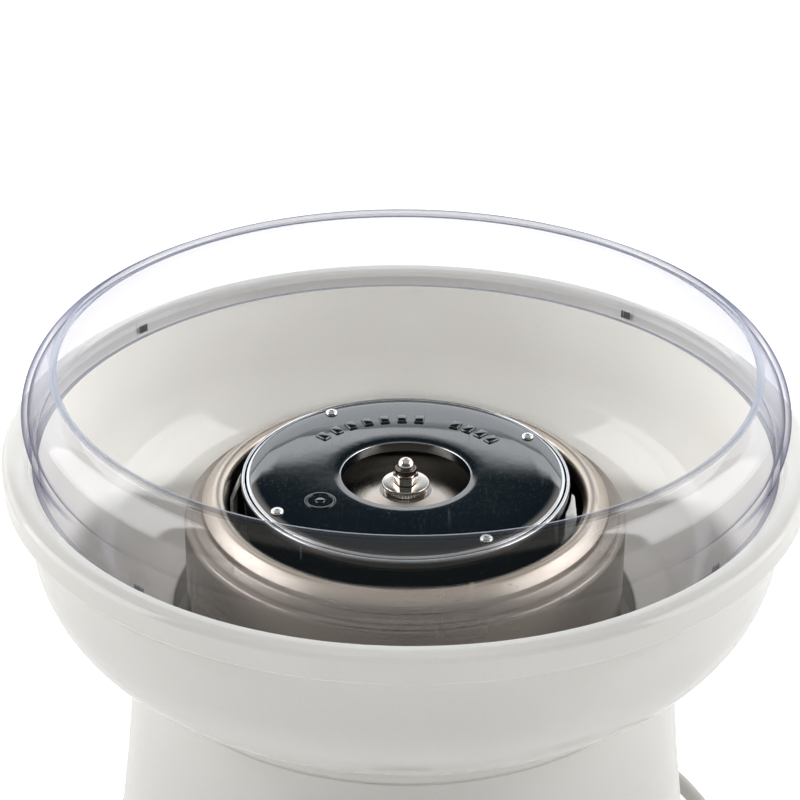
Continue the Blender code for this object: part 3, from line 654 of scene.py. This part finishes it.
def make_bowl():
    """Glossy bowl: rolled rim with a ledge for the shield, steep wall, quarter-round floor."""
    floor_curve, outer_radius, wall = (92.5, -28.5), 45.0, 3.0
    points = [(138.1, 0.0, 0.5), (144.6, 0.25, 1.6), (146.0, -1.6, 1.5), (146.0, -9.2, 0.5)]
    points += [(145.3, -10.2, 0.6), (143.4, -10.2, 0.4), (143.2, -3.2, 1.2), (139.3, -3.2, 1.2)]
    points += [(138.7, -12.0, 3.0), (137.5, -26.0, 2.0)]
    points += arc(floor_curve, outer_radius, -8, -88, 28)
    points += [(90.0, -73.5), (86.8, -73.5, 0.5), (86.8, -70.5, 0.8), (90.0, -70.5)]
    points += arc(floor_curve, outer_radius - wall, -88, -8, 28)
    points += [(134.9, -5.3, 0.4), (136.5, -5.0, 0.3), (136.8, -1.4, 0.8)]
    bowl = lathe("bowl_shell", points)
    dress(bowl, "bowl", "bowl", "bowl_plastic")


def make_shield():
    """Clear ring with a beaded top edge, a bulging wall and an upright skirt with ribbed tabs."""
    centre, bead, bead_radius = (118.6, 16.0), (126.0, 32.0), 1.45
    points = arc(bead, bead_radius, 165, 20, 12)
    points += arc(centre, 19.4, 50, -22, 28)
    points += [(135.9, 6.2, 2.0), (135.5, 3.2, 2.0), (135.4, -4.4, 0.4), (133.2, -4.4, 0.4)]
    points += [(133.3, 4.6, 2.0)]
    points += arc(centre, 17.2, -34, 48, 28)
    points += [(126.2, 29.9, 1.0)]
    shield = lathe("shield_ring", points)
    tabs = []
    for azimuth in (50, 140, 230, 320):
        low = (134.7 * MM, -4 * MM, RIM_Z - 4.0 * MM)
        high = (135.6 * MM, 4 * MM, RIM_Z + 3.0 * MM)
        tabs.append(about_z(box("tab", low, high), azimuth))
        for rib in range(4):
            y = (-1.65 + 1.1 * rib) * MM
            low = (135.45 * MM, y - 0.32 * MM, RIM_Z - 3.4 * MM)
            high = (136.05 * MM, y + 0.32 * MM, RIM_Z - 0.4 * MM)
            tabs.append(about_z(box("rib", low, high), azimuth))
    combine(shield, tabs, "UNION")
    bead_middle = Vector((bead[0] * MM, RIM_Z + bead[1] * MM))
    lower_edge = RIM_Z - 4.35 * MM
    painted_shade_radius = 135.65 * MM
    for face in shield.data.polygons:
        place = Vector((math.hypot(face.center.x, face.center.y), face.center.z))
        in_bead = (place - bead_middle).length < (bead_radius + 0.25) * MM
        # The bead and the skirt's bottom edge take the bead's darker material: painted shade.
        if in_bead or face.center.z < lower_edge:
            face.material_index = 1
        # The outer faces of the tabs' ribs get the dark grey of painted shade.
        elif place.x > painted_shade_radius and face.center.z < RIM_Z:
            face.material_index = 2
    surfaces = ("clear_plastic", "clear_bead", "tab_painted_shade")
    dress(shield, "rim_shield", "rim_shield", "clear_plastic", *surfaces)


# Spinning head


def make_head_pan():
    """Pan: bright rim, black outside, and a turned cone inside that rises to the shaft."""
    points = [(59.05, -16.9, 0.5), (60.1, -16.9, 0.7), (60.4, -17.9, 0.4), (60.4, -20.2, 0.5)]
    points += [(59.7, -21.4, 0.6), (59.7, -37.0, 4.0), (9.0, -37.0, 0.6), (9.0, -40.0, 0.6)]
    points += [(2.8, -40.0), (2.8, -23.1, 0.2), (9.6, -23.1, 1.5), (26.0, -28.2, 40)]
    points += [(46.0, -33.2, 9), (50.5, -31.6, 2.0), (50.5, -20.2, 0.8), (59.0, -20.2, 0.5)]
    pan = lathe("head_pan_casting", points)
    inside = 50.6 * MM
    floor_z = RIM_Z - 36.0 * MM
    rim_z = RIM_Z - 17.5 * MM
    for face in pan.data.polygons:
        r = math.hypot(face.center.x, face.center.y)
        if r < inside and face.center.z > floor_z:
            face.material_index = 1
        elif face.center.z > rim_z:
            face.material_index = 2
    surfaces = ("black_coating", "cast_aluminium", "bright_rim")
    dress(pan, "head_pan", "head", "cast_aluminium", *surfaces)


def make_head_plate():
    """Black plate: bright edge, rolled hole, and raised bars and a ring as its only marks."""
    points = [(31.0, -16.2), (48.0, -16.22), (53.0, -16.30), (56.9, -16.62), (57.2, -16.72)]
    points += [(57.5, -16.6, 0.2), (58.5, -16.9, 0.5), (58.5, -18.8, 0.2), (42.0, -17.6)]
    points += [(25.0, -17.6, 0.5), (24.6, -20.2, 0.1), (23.8, -20.2, 0.1), (23.8, -16.5, 0.35)]
    points += [(24.2, -16.27), (24.6, -16.235), (27.0, -16.215), (29.5, -16.203)]
    plate = lathe("head_plate", points)
    marks = []
    groups = ((139, 83, 7), (63, 39, 4))  # first and last azimuth, number of bars
    for first, last, bars in groups:
        for bar in range(bars):
            azimuth = first + (last - first) * bar / (bars - 1)
            low = (38.6 * MM, -1.9 * MM, RIM_Z - 16.6 * MM)
            high = (43.8 * MM, 1.9 * MM, RIM_Z - 15.5 * MM)
            marks.append(about_z(bevel(box("bar", low, high), 0.5 * MM, 3), azimuth))
    ring = [(4.7, -15.8, 0.25), (5.7, -15.8, 0.25), (5.7, -16.6), (4.7, -16.6)]
    dot = [(0, -15.8), (1.8, -15.8, 0.3), (1.8, -16.6), (0, -16.6)]
    emblem = [lathe("ring", ring, SMALL_FACETS), lathe("dot", dot, SMALL_FACETS, closed=False)]
    emblem_place = Matrix.Translation((*polar(37 * MM, 214), 0))
    for mark in emblem:
        turn_in_place(mark, emblem_place)
    merge(plate, marks + emblem)
    hole_edge, outer_edge = 24.05 * MM, 57.4 * MM
    edge_z = RIM_Z - 16.8 * MM
    for face in plate.data.polygons:
        r = math.hypot(face.center.x, face.center.y)
        if (r < hole_edge and face.center.z > edge_z) or r > outer_edge:
            face.material_index = 1
    dress(plate, "head_top_plate", "head", "black_coating", "black_coating", "bright_rim")


def make_rivets():
    """Domed rivets that hold the plate to the pan."""
    circle = 54 * MM
    for number, azimuth in enumerate((32, 122, 212, 302), start=1):
        points = [(0, -14.9), (1.0, -15.0, 1.0), (2.1, -15.5, 0.6), (2.4, -16.2, 0.1), (1.4, -16.3)]
        points += [(1.4, -38.0, 0.4), (0, -38.3)]
        rivet = lathe(f"rivet_{number}", points, 48, closed=False)
        turn_in_place(rivet, Matrix.Translation((*polar(circle, azimuth), 0)))
        dress(rivet, f"head_rivet_{number}", "head", "rivet_aluminium")


def make_shaft_end():
    """Ridged lock washer, chamfered washer, and an acorn nut with a collar under its dome."""
    low, high = (corner.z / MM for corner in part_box("lock_washer"))
    teeth, smooth_radius, depth, drop = 44, 6, 0.22, 0.12

    def ridged(azimuth, r, z):
        if r < smooth_radius:
            return r, z
        wave = math.cos(teeth * azimuth)
        return r + depth * wave, z - drop * wave

    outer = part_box("lock_washer")[1].x / MM - 0.2  # leaves room for the teeth
    ring = [(outer, high, 0.2), (outer, low, 0.2), (2.8, low), (2.8, high)]
    lock = lathe("ridged_washer", ring, teeth * 8, base_z=0.0, shape=ridged)
    dress(lock, "lock_washer", "head", "plated_steel")

    low, high = (corner.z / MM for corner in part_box("head_washer"))
    ring = [(8.7, high, 0.35), (8.7, low, 0.15), (2.8, low), (2.8, high, 0.2)]
    washer = lathe("flat_washer", ring, base_z=0.0)
    dress(washer, "head_washer", "head", "plated_steel")

    low, high = (corner.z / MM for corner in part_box("acorn_nut"))
    hex_high = low + 3.8
    across_flats = 8
    corner_r = across_flats / 2 / math.cos(math.pi / 6)
    hexagon = cylinder("acorn_nut_plated", corner_r * MM, low * MM, hex_high * MM, 6)
    chamfer = [(0, hex_high + 0.1), (3.9, hex_high + 0.1), (corner_r + 0.1, hex_high - 0.7)]
    chamfer += [(corner_r + 0.1, low + 0.35), (4.2, low - 0.1), (0, low - 0.1)]
    cone = link("cone", lathe_mesh("cone", chamfer, SMALL_FACETS, False, 0.0))
    combine(hexagon, [cone], "INTERSECT")
    dome_r, collar_r, collar_top = 3.15, 3.9, hex_high + 2.0
    dome = arc((0, high - 0.5 - dome_r), dome_r, 90, 0, 12)
    dome += [(dome_r, collar_top + 0.6, 0.2), (dome_r - 0.35, collar_top + 0.2, 0.1)]
    dome += [(dome_r - 0.1, collar_top, 0.1), (collar_r, collar_top, 0.35)]
    dome += [(collar_r, hex_high - 0.6), (0, hex_high - 0.6)]
    cap = lathe("cap", dome, SMALL_FACETS, closed=False, base_z=0.0)
    combine(hexagon, [cap], "UNION")
    bevel(hexagon, 0.1 * MM, 2)
    collar_band = ((hex_high - 0.1) * MM, (collar_top + 0.5) * MM)
    for face in hexagon.data.polygons:
        if collar_band[0] < face.center.z < collar_band[1]:
            face.material_index = 1
    dress(hexagon, "acorn_nut", "head", "plated_steel", "plated_steel", "nut_collar")


# Shroud and what shows round the head


def make_shroud():
    """Spun steel collar: rolled lip, crisp step, round shoulder and upright wall."""
    sheet = 0.8
    foot = (DECK_Z - RIM_Z) / MM + 0.3
    lip = (69.2, -26.2)
    shoulder = (79.1, -33.4)
    points = arc(lip, 3.6, 175, 48, 16)
    points += [(74.9, -26.5, 0.7), (75.0, -28.9, 1.6), (78.0, -31.0, 1.8)]
    points += arc(shoulder, 2.4, 72, 0, 8)
    points += [(81.5, foot, 0.2), (70.0, foot), (70.0, foot + sheet), (81.5 - sheet, foot + sheet)]
    points += arc(shoulder, 2.4 - sheet, 0, 72, 6)
    points += [(77.6, -31.8, 1.2), (74.2, -29.4, 1.2), (74.0, -26.9, 0.4)]
    points += arc(lip, 3.6 - sheet, 48, 175, 12)
    points += [(66.4, -29.0, 0.2), (65.6, -29.0, 0.2)]
    shroud = lathe("shroud_spun", points)
    dress(shroud, "shroud", "base", "satin_steel")


def make_ceramics():
    """Three stepped blocks under the heater, and a tall guard hollowed to clear the head's rim."""
    low, high = (corner.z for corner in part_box("ceramic_support_1"))
    rest = high - 4 * MM
    outline = [(38 * MM, low), (58 * MM, low), (58 * MM, high), (52 * MM, high)]
    outline += [(52 * MM, rest), (38 * MM, rest)]
    for number, azimuth in enumerate((30, 140, 250), start=1):
        block = extrude(f"ceramic_block_{number}", outline, 14 * MM)
        turn_in_place(block, LIE_DOWN)
        about_z(bevel(block, 0.8 * MM, 4), azimuth)
        dress(block, f"ceramic_support_{number}", "base", "ceramic")

    low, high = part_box("ceramic_guard")
    guard = box("ceramic_guard_block", low, high - Vector((0, 0, 1.4 * MM)))
    bevel(guard, 1.6 * MM, 5)
    sweep = cylinder("sweep", 61.1 * MM, RIM_Z - 39 * MM, high.z + 5 * MM, FACETS)
    combine(guard, [sweep], "DIFFERENCE")
    dress(guard, "ceramic_guard", "base", "ceramic")


def make_terminal_bracket():
    """Bent strip that rises beside the head, its tip turned in, with rounded edges."""
    azimuth, strip = 174, 1.2 * MM
    low = HAT_TOP_Z + 0.3 * MM
    inner, outer, tip = 54 * MM, 64.9 * MM, 61.2 * MM
    bend_z, tip_z = RIM_Z - 29.2 * MM, RIM_Z - 23.0 * MM
    outline = [(inner, low), (outer, low), (outer, bend_z), (tip + 0.9 * MM, tip_z)]
    outline += [(tip, tip_z - 0.8 * MM), (outer - strip, bend_z - 0.4 * MM)]
    outline += [(outer - strip, low + strip), (inner, low + strip)]
    bracket = extrude("terminal_strip", outline, 9 * MM)
    turn_in_place(bracket, LIE_DOWN)
    about_z(bevel(bracket, 0.3 * MM, 2), azimuth)
    dress(bracket, "terminal_bracket", "base", "bracket_steel")


def make_heater():
    """Sheathed tube ring whose ends turn down through the heat shield."""
    radius, half_opening, bend, sheath = 45 * MM, 14, 6, 3.2 * MM
    low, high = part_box("heater_element")
    z = high.z - sheath
    path = []
    steps = 120
    for step in range(steps + 1):
        azimuth = 180 + half_opening + bend + (360 - 2 * half_opening - 2 * bend) * step / steps
        path.append(Vector((*polar(radius, azimuth), z)))
    for side in (1, -1):
        corner = polar(radius, 180 + side * half_opening)
        onto_ring = polar(radius, 180 + side * (half_opening + bend))
        leg = [(*corner, low.z), (*corner, z), (*onto_ring, z)]
        curve = rounded_path(leg, 4 * MM, 8)[:-1]
        path = curve + path if side == 1 else path + curve[::-1]
    heater = tube("heater_ring", path, sheath, 20)
    dress(heater, "heater_element", "base", "heater_sheath")


# Base


def housing_outline():
    """Outside of the drum from its top edge to its foot, in millimetres above the table."""
    side = arc((97.0, 127.2), 4.0, 90, 0, 8)
    side += [(101.25, 124.0, 0.2), (100.7, 123.7, 0.1), (100.75, 123.1, 0.1), (101.4, 122.8, 0.2)]
    side += [(103.4, 100, 60), (106.3, 70, 80), (109.6, 42, 30), (112.4, 29, 12)]
    side += [(113.9, 25.6, 0.2), (113.5, 25.2, 0.1), (113.8, 24.6, 0.1), (114.5, 24.4, 0.2)]
    side += [(116.4, 20.3, 4), (118.0, 15, 4), (118.0, 10, 0.6)]
    return side


def cord_exit():
    """The x and z at which the cord leaves the drum, from the strain relief."""
    low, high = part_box("strain_relief")
    return (low.x + high.x) / 2, (low.z + high.z) / 2


def switch_matrix():
    """From a frame about the rocker's pivot to its place on the drum's sloping front."""
    lean = math.radians(-5.5)
    return Matrix.Translation((0, PIVOT_Y, SWITCH_Z)) @ Matrix.Rotation(lean, 4, "X")


def switch_block(name, half_width, front, back, half_height):
    """A block in the switch's own frame, from millimetres."""
    low = (-half_width * MM, front * MM, -half_height * MM)
    high = (half_width * MM, back * MM, half_height * MM)
    return box(name, low, high)


def make_base_housing():
    """Drum with parting grooves, rear vents, and holes for the switch and the cord."""
    points = [(87.3, 131.2, 0.4)]
    points += housing_outline()
    points += [(115.4, 10), (115.4, 14.6), (113.8, 19.4), (109.9, 28.2), (107.0, 42)]
    points += [(103.7, 70), (100.8, 100), (98.3, 126.4), (96.2, 128.5), (90.3, 128.5)]
    points += [(90.3, 119), (40.0, 119), (40.0, 122), (87.3, 122)]
    housing = lathe("base_drum", points, base_z=0.0)
    opening = turn_in_place(switch_block("opening", 9.3, -15, 20, 13.3), switch_matrix())
    tools = [bevel(opening, 1.2 * MM, 3)]
    first_vent, last_vent, spacing = 66, 114, 8
    for azimuth in range(first_vent, last_vent + 1, spacing):
        slot = box("slot", (90 * MM, -1.6 * MM, 64 * MM), (120 * MM, 1.6 * MM, 90 * MM))
        tools.append(about_z(bevel(slot, 1.5 * MM, 4), azimuth))
    hole = cylinder("hole", 6.6 * MM, -20 * MM, 20 * MM)
    turn_in_place(hole, LIE_DOWN)
    exit_x, exit_z = cord_exit()
    turn_in_place(hole, Matrix.Translation((exit_x, 105 * MM, exit_z)))
    combine(housing, tools + [hole], "DIFFERENCE")
    dress(housing, "base_housing", "base", "base_plastic")


def make_feet():
    """Rubber feet with a grooved side."""
    circle = 92 * MM
    for number, azimuth in enumerate((45, 135, 225, 315), start=1):
        points = [(0, 9.7), (12, 9.7, 0.4), (12, 7.7, 0.6), (11.3, 7.2, 0.3), (11.2, 5.4, 0.3)]
        points += [(10.7, 5.2, 0.3), (10.7, 4.4, 0.3), (11.0, 4.2, 0.3), (10.4, 1.0, 0.8)]
        points += [(9.6, 0, 0.6), (0, 0)]
        foot = lathe(f"rubber_foot_{number}", points, SMALL_FACETS, False, 0.0)
        turn_in_place(foot, Matrix.Translation((*polar(circle, azimuth), 0)))
        dress(foot, f"foot_{number}", "base", "foot_rubber")


def make_switch():
    """Bezel that follows the drum, and a two-sided rocker with a plain bar and ring."""
    place = switch_matrix()
    bezel = bevel(switch_block("switch_frame", 12.5, -2.6, 6, 16.5), 1.6 * MM, 5)
    turn_in_place(bezel, place)
    clearance = 0.3
    wall = [(r + clearance, z) for r, z, *_ in housing_outline()]
    drum = lathe_mesh("drum", [(0, 131.6)] + wall + [(0, 10)], FACETS, False, 0.0)
    combine(bezel, [link("drum", drum)], "DIFFERENCE")
    body = turn_in_place(switch_block("body", 9.0, -1.8, 9, 13.0), place)
    combine(bezel, [body], "UNION")
    cavity = bevel(switch_block("cavity", 6.9, -6, 7.4, 10.6), 0.6 * MM, 3)
    combine(bezel, [turn_in_place(cavity, place)], "DIFFERENCE")
    dress(bezel, "switch_bezel", "base", "switch_black")

    end = arc((0, 0), 10.0, -24, 24, 12)
    other_end = [(-x, y) for x, y in reversed(end)]
    outline = [(0, -2.4)] + end + [(0, 6)] + other_end
    outline = [(x * MM, y * MM) for x, y in outline]
    rocker = extrude("rocker_button", outline, 13 * MM)
    turn_in_place(rocker, Matrix.Rotation(math.pi / 2, 4, "Y"))
    bevel(rocker, 0.45 * MM, 3, 25)
    bar = box("bar", (-0.45 * MM, -0.2 * MM, -1.6 * MM), (0.45 * MM, 0.4 * MM, 1.6 * MM))
    bevel(bar, 0.15 * MM, 2)
    ring = lathe("ring", [(1.1, 0.2), (1.7, 0.2), (1.7, -0.4), (1.1, -0.4)], 40, True, 0.0)
    turn_in_place(ring, LIE_DOWN)
    face_slope = math.atan2(4.07 - 2.4, 9.14)
    for mark, side in ((bar, 1), (ring, -1)):
        turn_in_place(mark, Matrix.Rotation(side * face_slope, 4, "X"))
        turn_in_place(mark, Matrix.Translation((0, -3.25 * MM, side * 5.2 * MM)))
        for face in mark.data.polygons:
            face.material_index = 1
    merge(rocker, [bar, ring])
    tip_at_rest = math.radians(8)
    turn_in_place(rocker, place @ Matrix.Rotation(tip_at_rest, 4, "X"))
    surfaces = ("switch_black", "switch_mark")
    dress(rocker, "switch_rocker", "switch_rocker", "switch_black", *surfaces)


def make_cord():
    """Flexible cord, ribbed strain relief and moulded plug with round pins."""
    x, z = cord_exit()
    points = [(4.4, 127, 0.8)]
    for rib in range(5):
        y = 125.2 - 2.3 * rib
        r = 4.5 + 0.22 * rib
        points += [(r, y, 0.2), (r, y - 1.1, 0.2), (r - 0.7, y - 1.2, 0.2), (r - 0.7, y - 2.2, 0.2)]
    points += [(9.0, 113.4, 0.5), (9.0, 110.9, 0.3), (6.0, 110.9), (6.0, 100)]
    points += [(3.5, 100), (3.5, 127, 0.4)]
    relief = lathe("relief_sleeve", points, SMALL_FACETS, True, 0.0)
    turn_in_place(relief, Matrix.Translation((x, 0, z)) @ Matrix.Rotation(-math.pi / 2, 4, "X"))
    dress(relief, "strain_relief", "base", "cord_vinyl")

    cord_radius, lay, circle = 3.2 * MM, 3.5 * MM, 133 * MM
    halfway = (x + 5 * MM, 137.5 * MM, 24 * MM)
    corners = [(x - 60 * MM, 72 * MM, 30 * MM), (x, 86 * MM, z), (x, 138 * MM, z), halfway]
    path = rounded_path(corners, 8 * MM)
    first, last, steps = 54, -6, 40
    landing = [halfway, (x + 10 * MM, 136 * MM, 9 * MM)]
    landing += [(*polar(circle, 60), lay), (*polar(circle, first), lay)]
    path += rounded_path(landing, 14 * MM)[1:]
    for step in range(1, steps):
        path.append(Vector((*polar(circle, first + (last - first) * step / steps), lay)))
    plug_azimuth, plug_circle, plug_z = -33, 132 * MM, 7 * MM
    place = Matrix.Rotation(math.radians(plug_azimuth), 4, "Z")
    place = place @ Matrix.Translation((plug_circle, 0, plug_z))
    ending = [(*polar(circle, last), lay)]
    ending += [place @ Vector((0, y * MM, h * MM)) for y, h in ((38, -3.5), (30, -0.8), (15, -0.8))]
    path += rounded_path(ending, 12 * MM)
    cord = tube("mains_cord", path, cord_radius)
    dress(cord, "power_cord", "base", "cord_vinyl")

    plug_end, pin_offset, pin_middle = 19 * MM, 4.5 * MM, -23 * MM
    plug = box("plug_moulding", (-8 * MM, -plug_end, -6.5 * MM), (8 * MM, plug_end, 6.5 * MM))
    bevel(plug, 3 * MM, 6)
    tools = []
    for groove in range(4):
        y = (2 + 3.4 * groove) * MM
        for side in (-1, 1):
            low = (min(side * 7.2, side * 9) * MM, y - 0.7 * MM, -5 * MM)
            high = (max(side * 7.2, side * 9) * MM, y + 0.7 * MM, 5 * MM)
            tools.append(bevel(box("groove", low, high), 0.3 * MM, 2))
    for offset in (-pin_offset, pin_offset):
        bore = cylinder("bore", 2.2 * MM, -8 * MM, 8 * MM, 32)
        turn_in_place(bore, Matrix.Translation((offset, -plug_end, 0)) @ LIE_DOWN)
        tools.append(bore)
    combine(plug, tools, "DIFFERENCE")
    collar = [(0, 15), (5.6, 15), (5.4, 22, 0.6), (4.1, 29, 0.5), (0, 29)]
    collar = lathe("collar", collar, SMALL_FACETS, False, 0.0)
    onto_plug = Matrix.Translation((0, 0, -0.8 * MM)) @ Matrix.Rotation(-math.pi / 2, 4, "X")
    turn_in_place(collar, onto_plug)
    combine(plug, [collar], "UNION")
    turn_in_place(plug, place)
    dress(plug, "plug_body", "base", "cord_vinyl")
    for number, offset in ((1, -pin_offset), (2, pin_offset)):
        points = [(0, 12), (2.0, 12, 1.2), (2.0, -12, 0.2), (0, -12)]
        pin = lathe(f"round_pin_{number}", points, 40, False, 0.0)
        turn_in_place(pin, place @ Matrix.Translation((offset, pin_middle, 0)) @ LIE_DOWN)
        dress(pin, f"plug_pin_{number}", "base", "pin_brass")


def dress_cad_nodes():
    """Gives every CAD node that still shows the material of its slot."""
    for part in frame["record"]["subparts"]:
        node = frame["nodes"][part["node"]]
        if node.hide_render:
            continue
        node.data.materials.clear()
        node.data.materials.append(SURFACES[part["material_slot"]])


# Studio


def make_world():
    """Studio drawn on the sky: each card is a soft-edged patch between two azimuths and heights.

    The camera sees plain white instead, and diffuse light from the sky is dimmed.
    """
    world = bpy.data.worlds.new("studio")
    bpy.context.scene.world = world
    world.use_nodes = True
    tree = world.node_tree

    def node(kind, inputs=None, **attributes):
        return add_node(tree, kind, inputs, **attributes)

    def calculate(operation, a, b=0.0):
        return node("ShaderNodeMath", {0: a, 1: b}, operation=operation).outputs[0]

    def step(value, start, end):
        inputs = {"Value": value, "From Min": start, "From Max": end}
        return node("ShaderNodeMapRange", inputs, interpolation_type="SMOOTHSTEP").outputs[0]

    direction = node("ShaderNodeTexCoord").outputs["Generated"]
    x, y, z = node("ShaderNodeSeparateXYZ", {0: direction}).outputs
    elevation = calculate("ARCSINE", z)
    flat = calculate("SQRT", calculate("SUBTRACT", 1.0001, calculate("MULTIPLY", z, z)))
    total = None
    for azimuth, half_width, low, high, soft, colour, strength in CARDS:
        angle = math.radians(azimuth)
        along = calculate("MULTIPLY", x, math.cos(angle))
        along = calculate("ADD", along, calculate("MULTIPLY", y, math.sin(angle)))
        along = calculate("DIVIDE", along, flat)
        edge = [math.cos(math.radians(min(half_width + side * soft, 180))) for side in (1, -1)]
        mask = step(along, edge[0] - 0.0001, edge[1])
        if half_width >= 180:
            mask = 1.0
        rising = step(elevation, math.radians(low - soft), math.radians(low + soft))
        falling = step(elevation, math.radians(high + soft), math.radians(high - soft))
        mask = calculate("MULTIPLY", calculate("MULTIPLY", rising, falling), mask)
        mask = calculate("MULTIPLY", mask, strength)
        scaled = {0: colour, "Scale": mask}
        card = node("ShaderNodeVectorMath", scaled, operation="SCALE").outputs[0]
        if total is None:
            total = card
        else:
            total = node("ShaderNodeVectorMath", {0: total, 1: card}, operation="ADD").outputs[0]
    path = node("ShaderNodeLightPath")
    seen = calculate("MAXIMUM", path.outputs["Is Camera Ray"], path.outputs["Is Transmission Ray"])
    white = node("ShaderNodeMix", {"Factor": seen}, data_type="RGBA")
    tree.links.new(total, white.inputs[6])
    white.inputs[7].default_value = (1, 1, 1, 1)
    tree.links.new(white.outputs[2], tree.nodes["Background"].inputs["Color"])
    dimmed = calculate("MULTIPLY", path.outputs["Is Diffuse Ray"], 0.53)
    fill = calculate("SUBTRACT", 1.0, dimmed)
    tree.links.new(fill, tree.nodes["Background"].inputs["Strength"])


# Azimuth, half width, lowest and highest elevation and softness in degrees; colour; radiance.
# In order: dim surround, warm front, left and right soft boxes, back board, two tall strips, top.
CARDS = [
    (0, 180, -90, 90, 3, (0.45, 0.95, 1.3), 0.05),
    (270, 150, -90, 90, 30, (1.0, 0.88, 0.78), 0.06),
    (175, 24, -25, 46, 1.5, (1.0, 1.0, 1.0), 4.2),
    (4, 24, -25, 46, 1.5, (1.0, 1.0, 1.0), 4.2),
    (90, 62, -20, 29.45, 0.4, (0.93, 0.97, 1.0), 2.1),
    (122, 17, 27, 54, 5, (1.0, 0.93, 0.86), 1.3),
    (58, 17, 27, 54, 5, (1.0, 0.93, 0.86), 1.1),
    (0, 180, 52, 90, 6, (1.0, 0.90, 0.80), 0.42),
]


def area_light(name, place, target, size, power, spread):
    """A soft lamp that points at a target and lights only what lies within its spread."""
    data = bpy.data.lights.new(name, "AREA")
    data.shape = "DISK"
    data.size = size
    data.energy = power
    data.spread = math.radians(spread)
    lamp = bpy.data.objects.new(name, data)
    bpy.context.scene.collection.objects.link(lamp)
    aim = (Vector(target) - Vector(place)).to_track_quat("-Z", "Y").to_matrix().to_4x4()
    lamp.matrix_world = Matrix.Translation(place) @ aim
    lamp.visible_glossy = False
    lamp.visible_transmission = False


def make_studio():
    """Sky cards, three narrow lamps that brighten the bowl's inside walls, and the floor."""
    make_world()
    lamps = ((180, 0.088), (270, 0.060), (0, 0.088))  # azimuth, power
    for azimuth, power in lamps:
        place = (*polar(0.68, azimuth), RIM_Z + 0.40)
        opposite_wall = (*polar(-0.11, azimuth), RIM_Z - 0.015)
        area_light("bowl_lamp", place, opposite_wall, 0.14, power, 21)
    floor = box("floor", (-6, -6, -0.02), (6, 6, -0.0003))
    s = Surface((0.9, 0.9, 0.9), 0.9, Specular_IOR_Level=0.1)
    s.material.name = "floor_paper"
    s.tint(s.noise(3, 2, low=0.4, high=0.7), (0.89, 0.89, 0.885))
    s.shader.inputs["Emission Color"].default_value = (1, 1, 1, 1)
    seen = s.node("ShaderNodeLightPath").outputs["Is Camera Ray"]
    glow = s.math("ADD", s.math("MULTIPLY", seen, 0.35), 0.3)
    s.tree.links.new(glow, s.shader.inputs["Emission Strength"])
    floor.data.materials.append(s.material)


def make_camera():
    """Looks down from the front. Distance and elevation are seen from the rim's centre."""
    distance, elevation = 0.934, math.radians(29.0)
    look_down, roll = math.radians(28.25), math.radians(0.6)
    data = bpy.data.cameras.new("camera")
    data.sensor_width = 36
    data.lens = 115.4
    data.shift_x = -0.0081
    data.shift_y = 0.00125
    camera = bpy.data.objects.new("camera", data)
    bpy.context.scene.collection.objects.link(camera)
    back, up = distance * math.cos(elevation), distance * math.sin(elevation)
    camera.matrix_world = (
        Matrix.Translation((0, -back, RIM_Z + up))
        @ Matrix.Rotation(math.pi / 2 - look_down, 4, "X")
        @ Matrix.Rotation(roll, 4, "Z")
    )
    data.clip_start, data.clip_end = 0.05, 50
    bpy.context.scene.camera = camera


make_bowl()
make_shield()
make_head_pan()
make_head_plate()
make_rivets()
make_shaft_end()
make_shroud()
make_ceramics()
make_terminal_bracket()
make_heater()
make_base_housing()
make_feet()
make_switch()
make_cord()
dress_cad_nodes()
make_studio()
make_camera()
bpy.context.scene.view_settings.view_transform = "Standard"
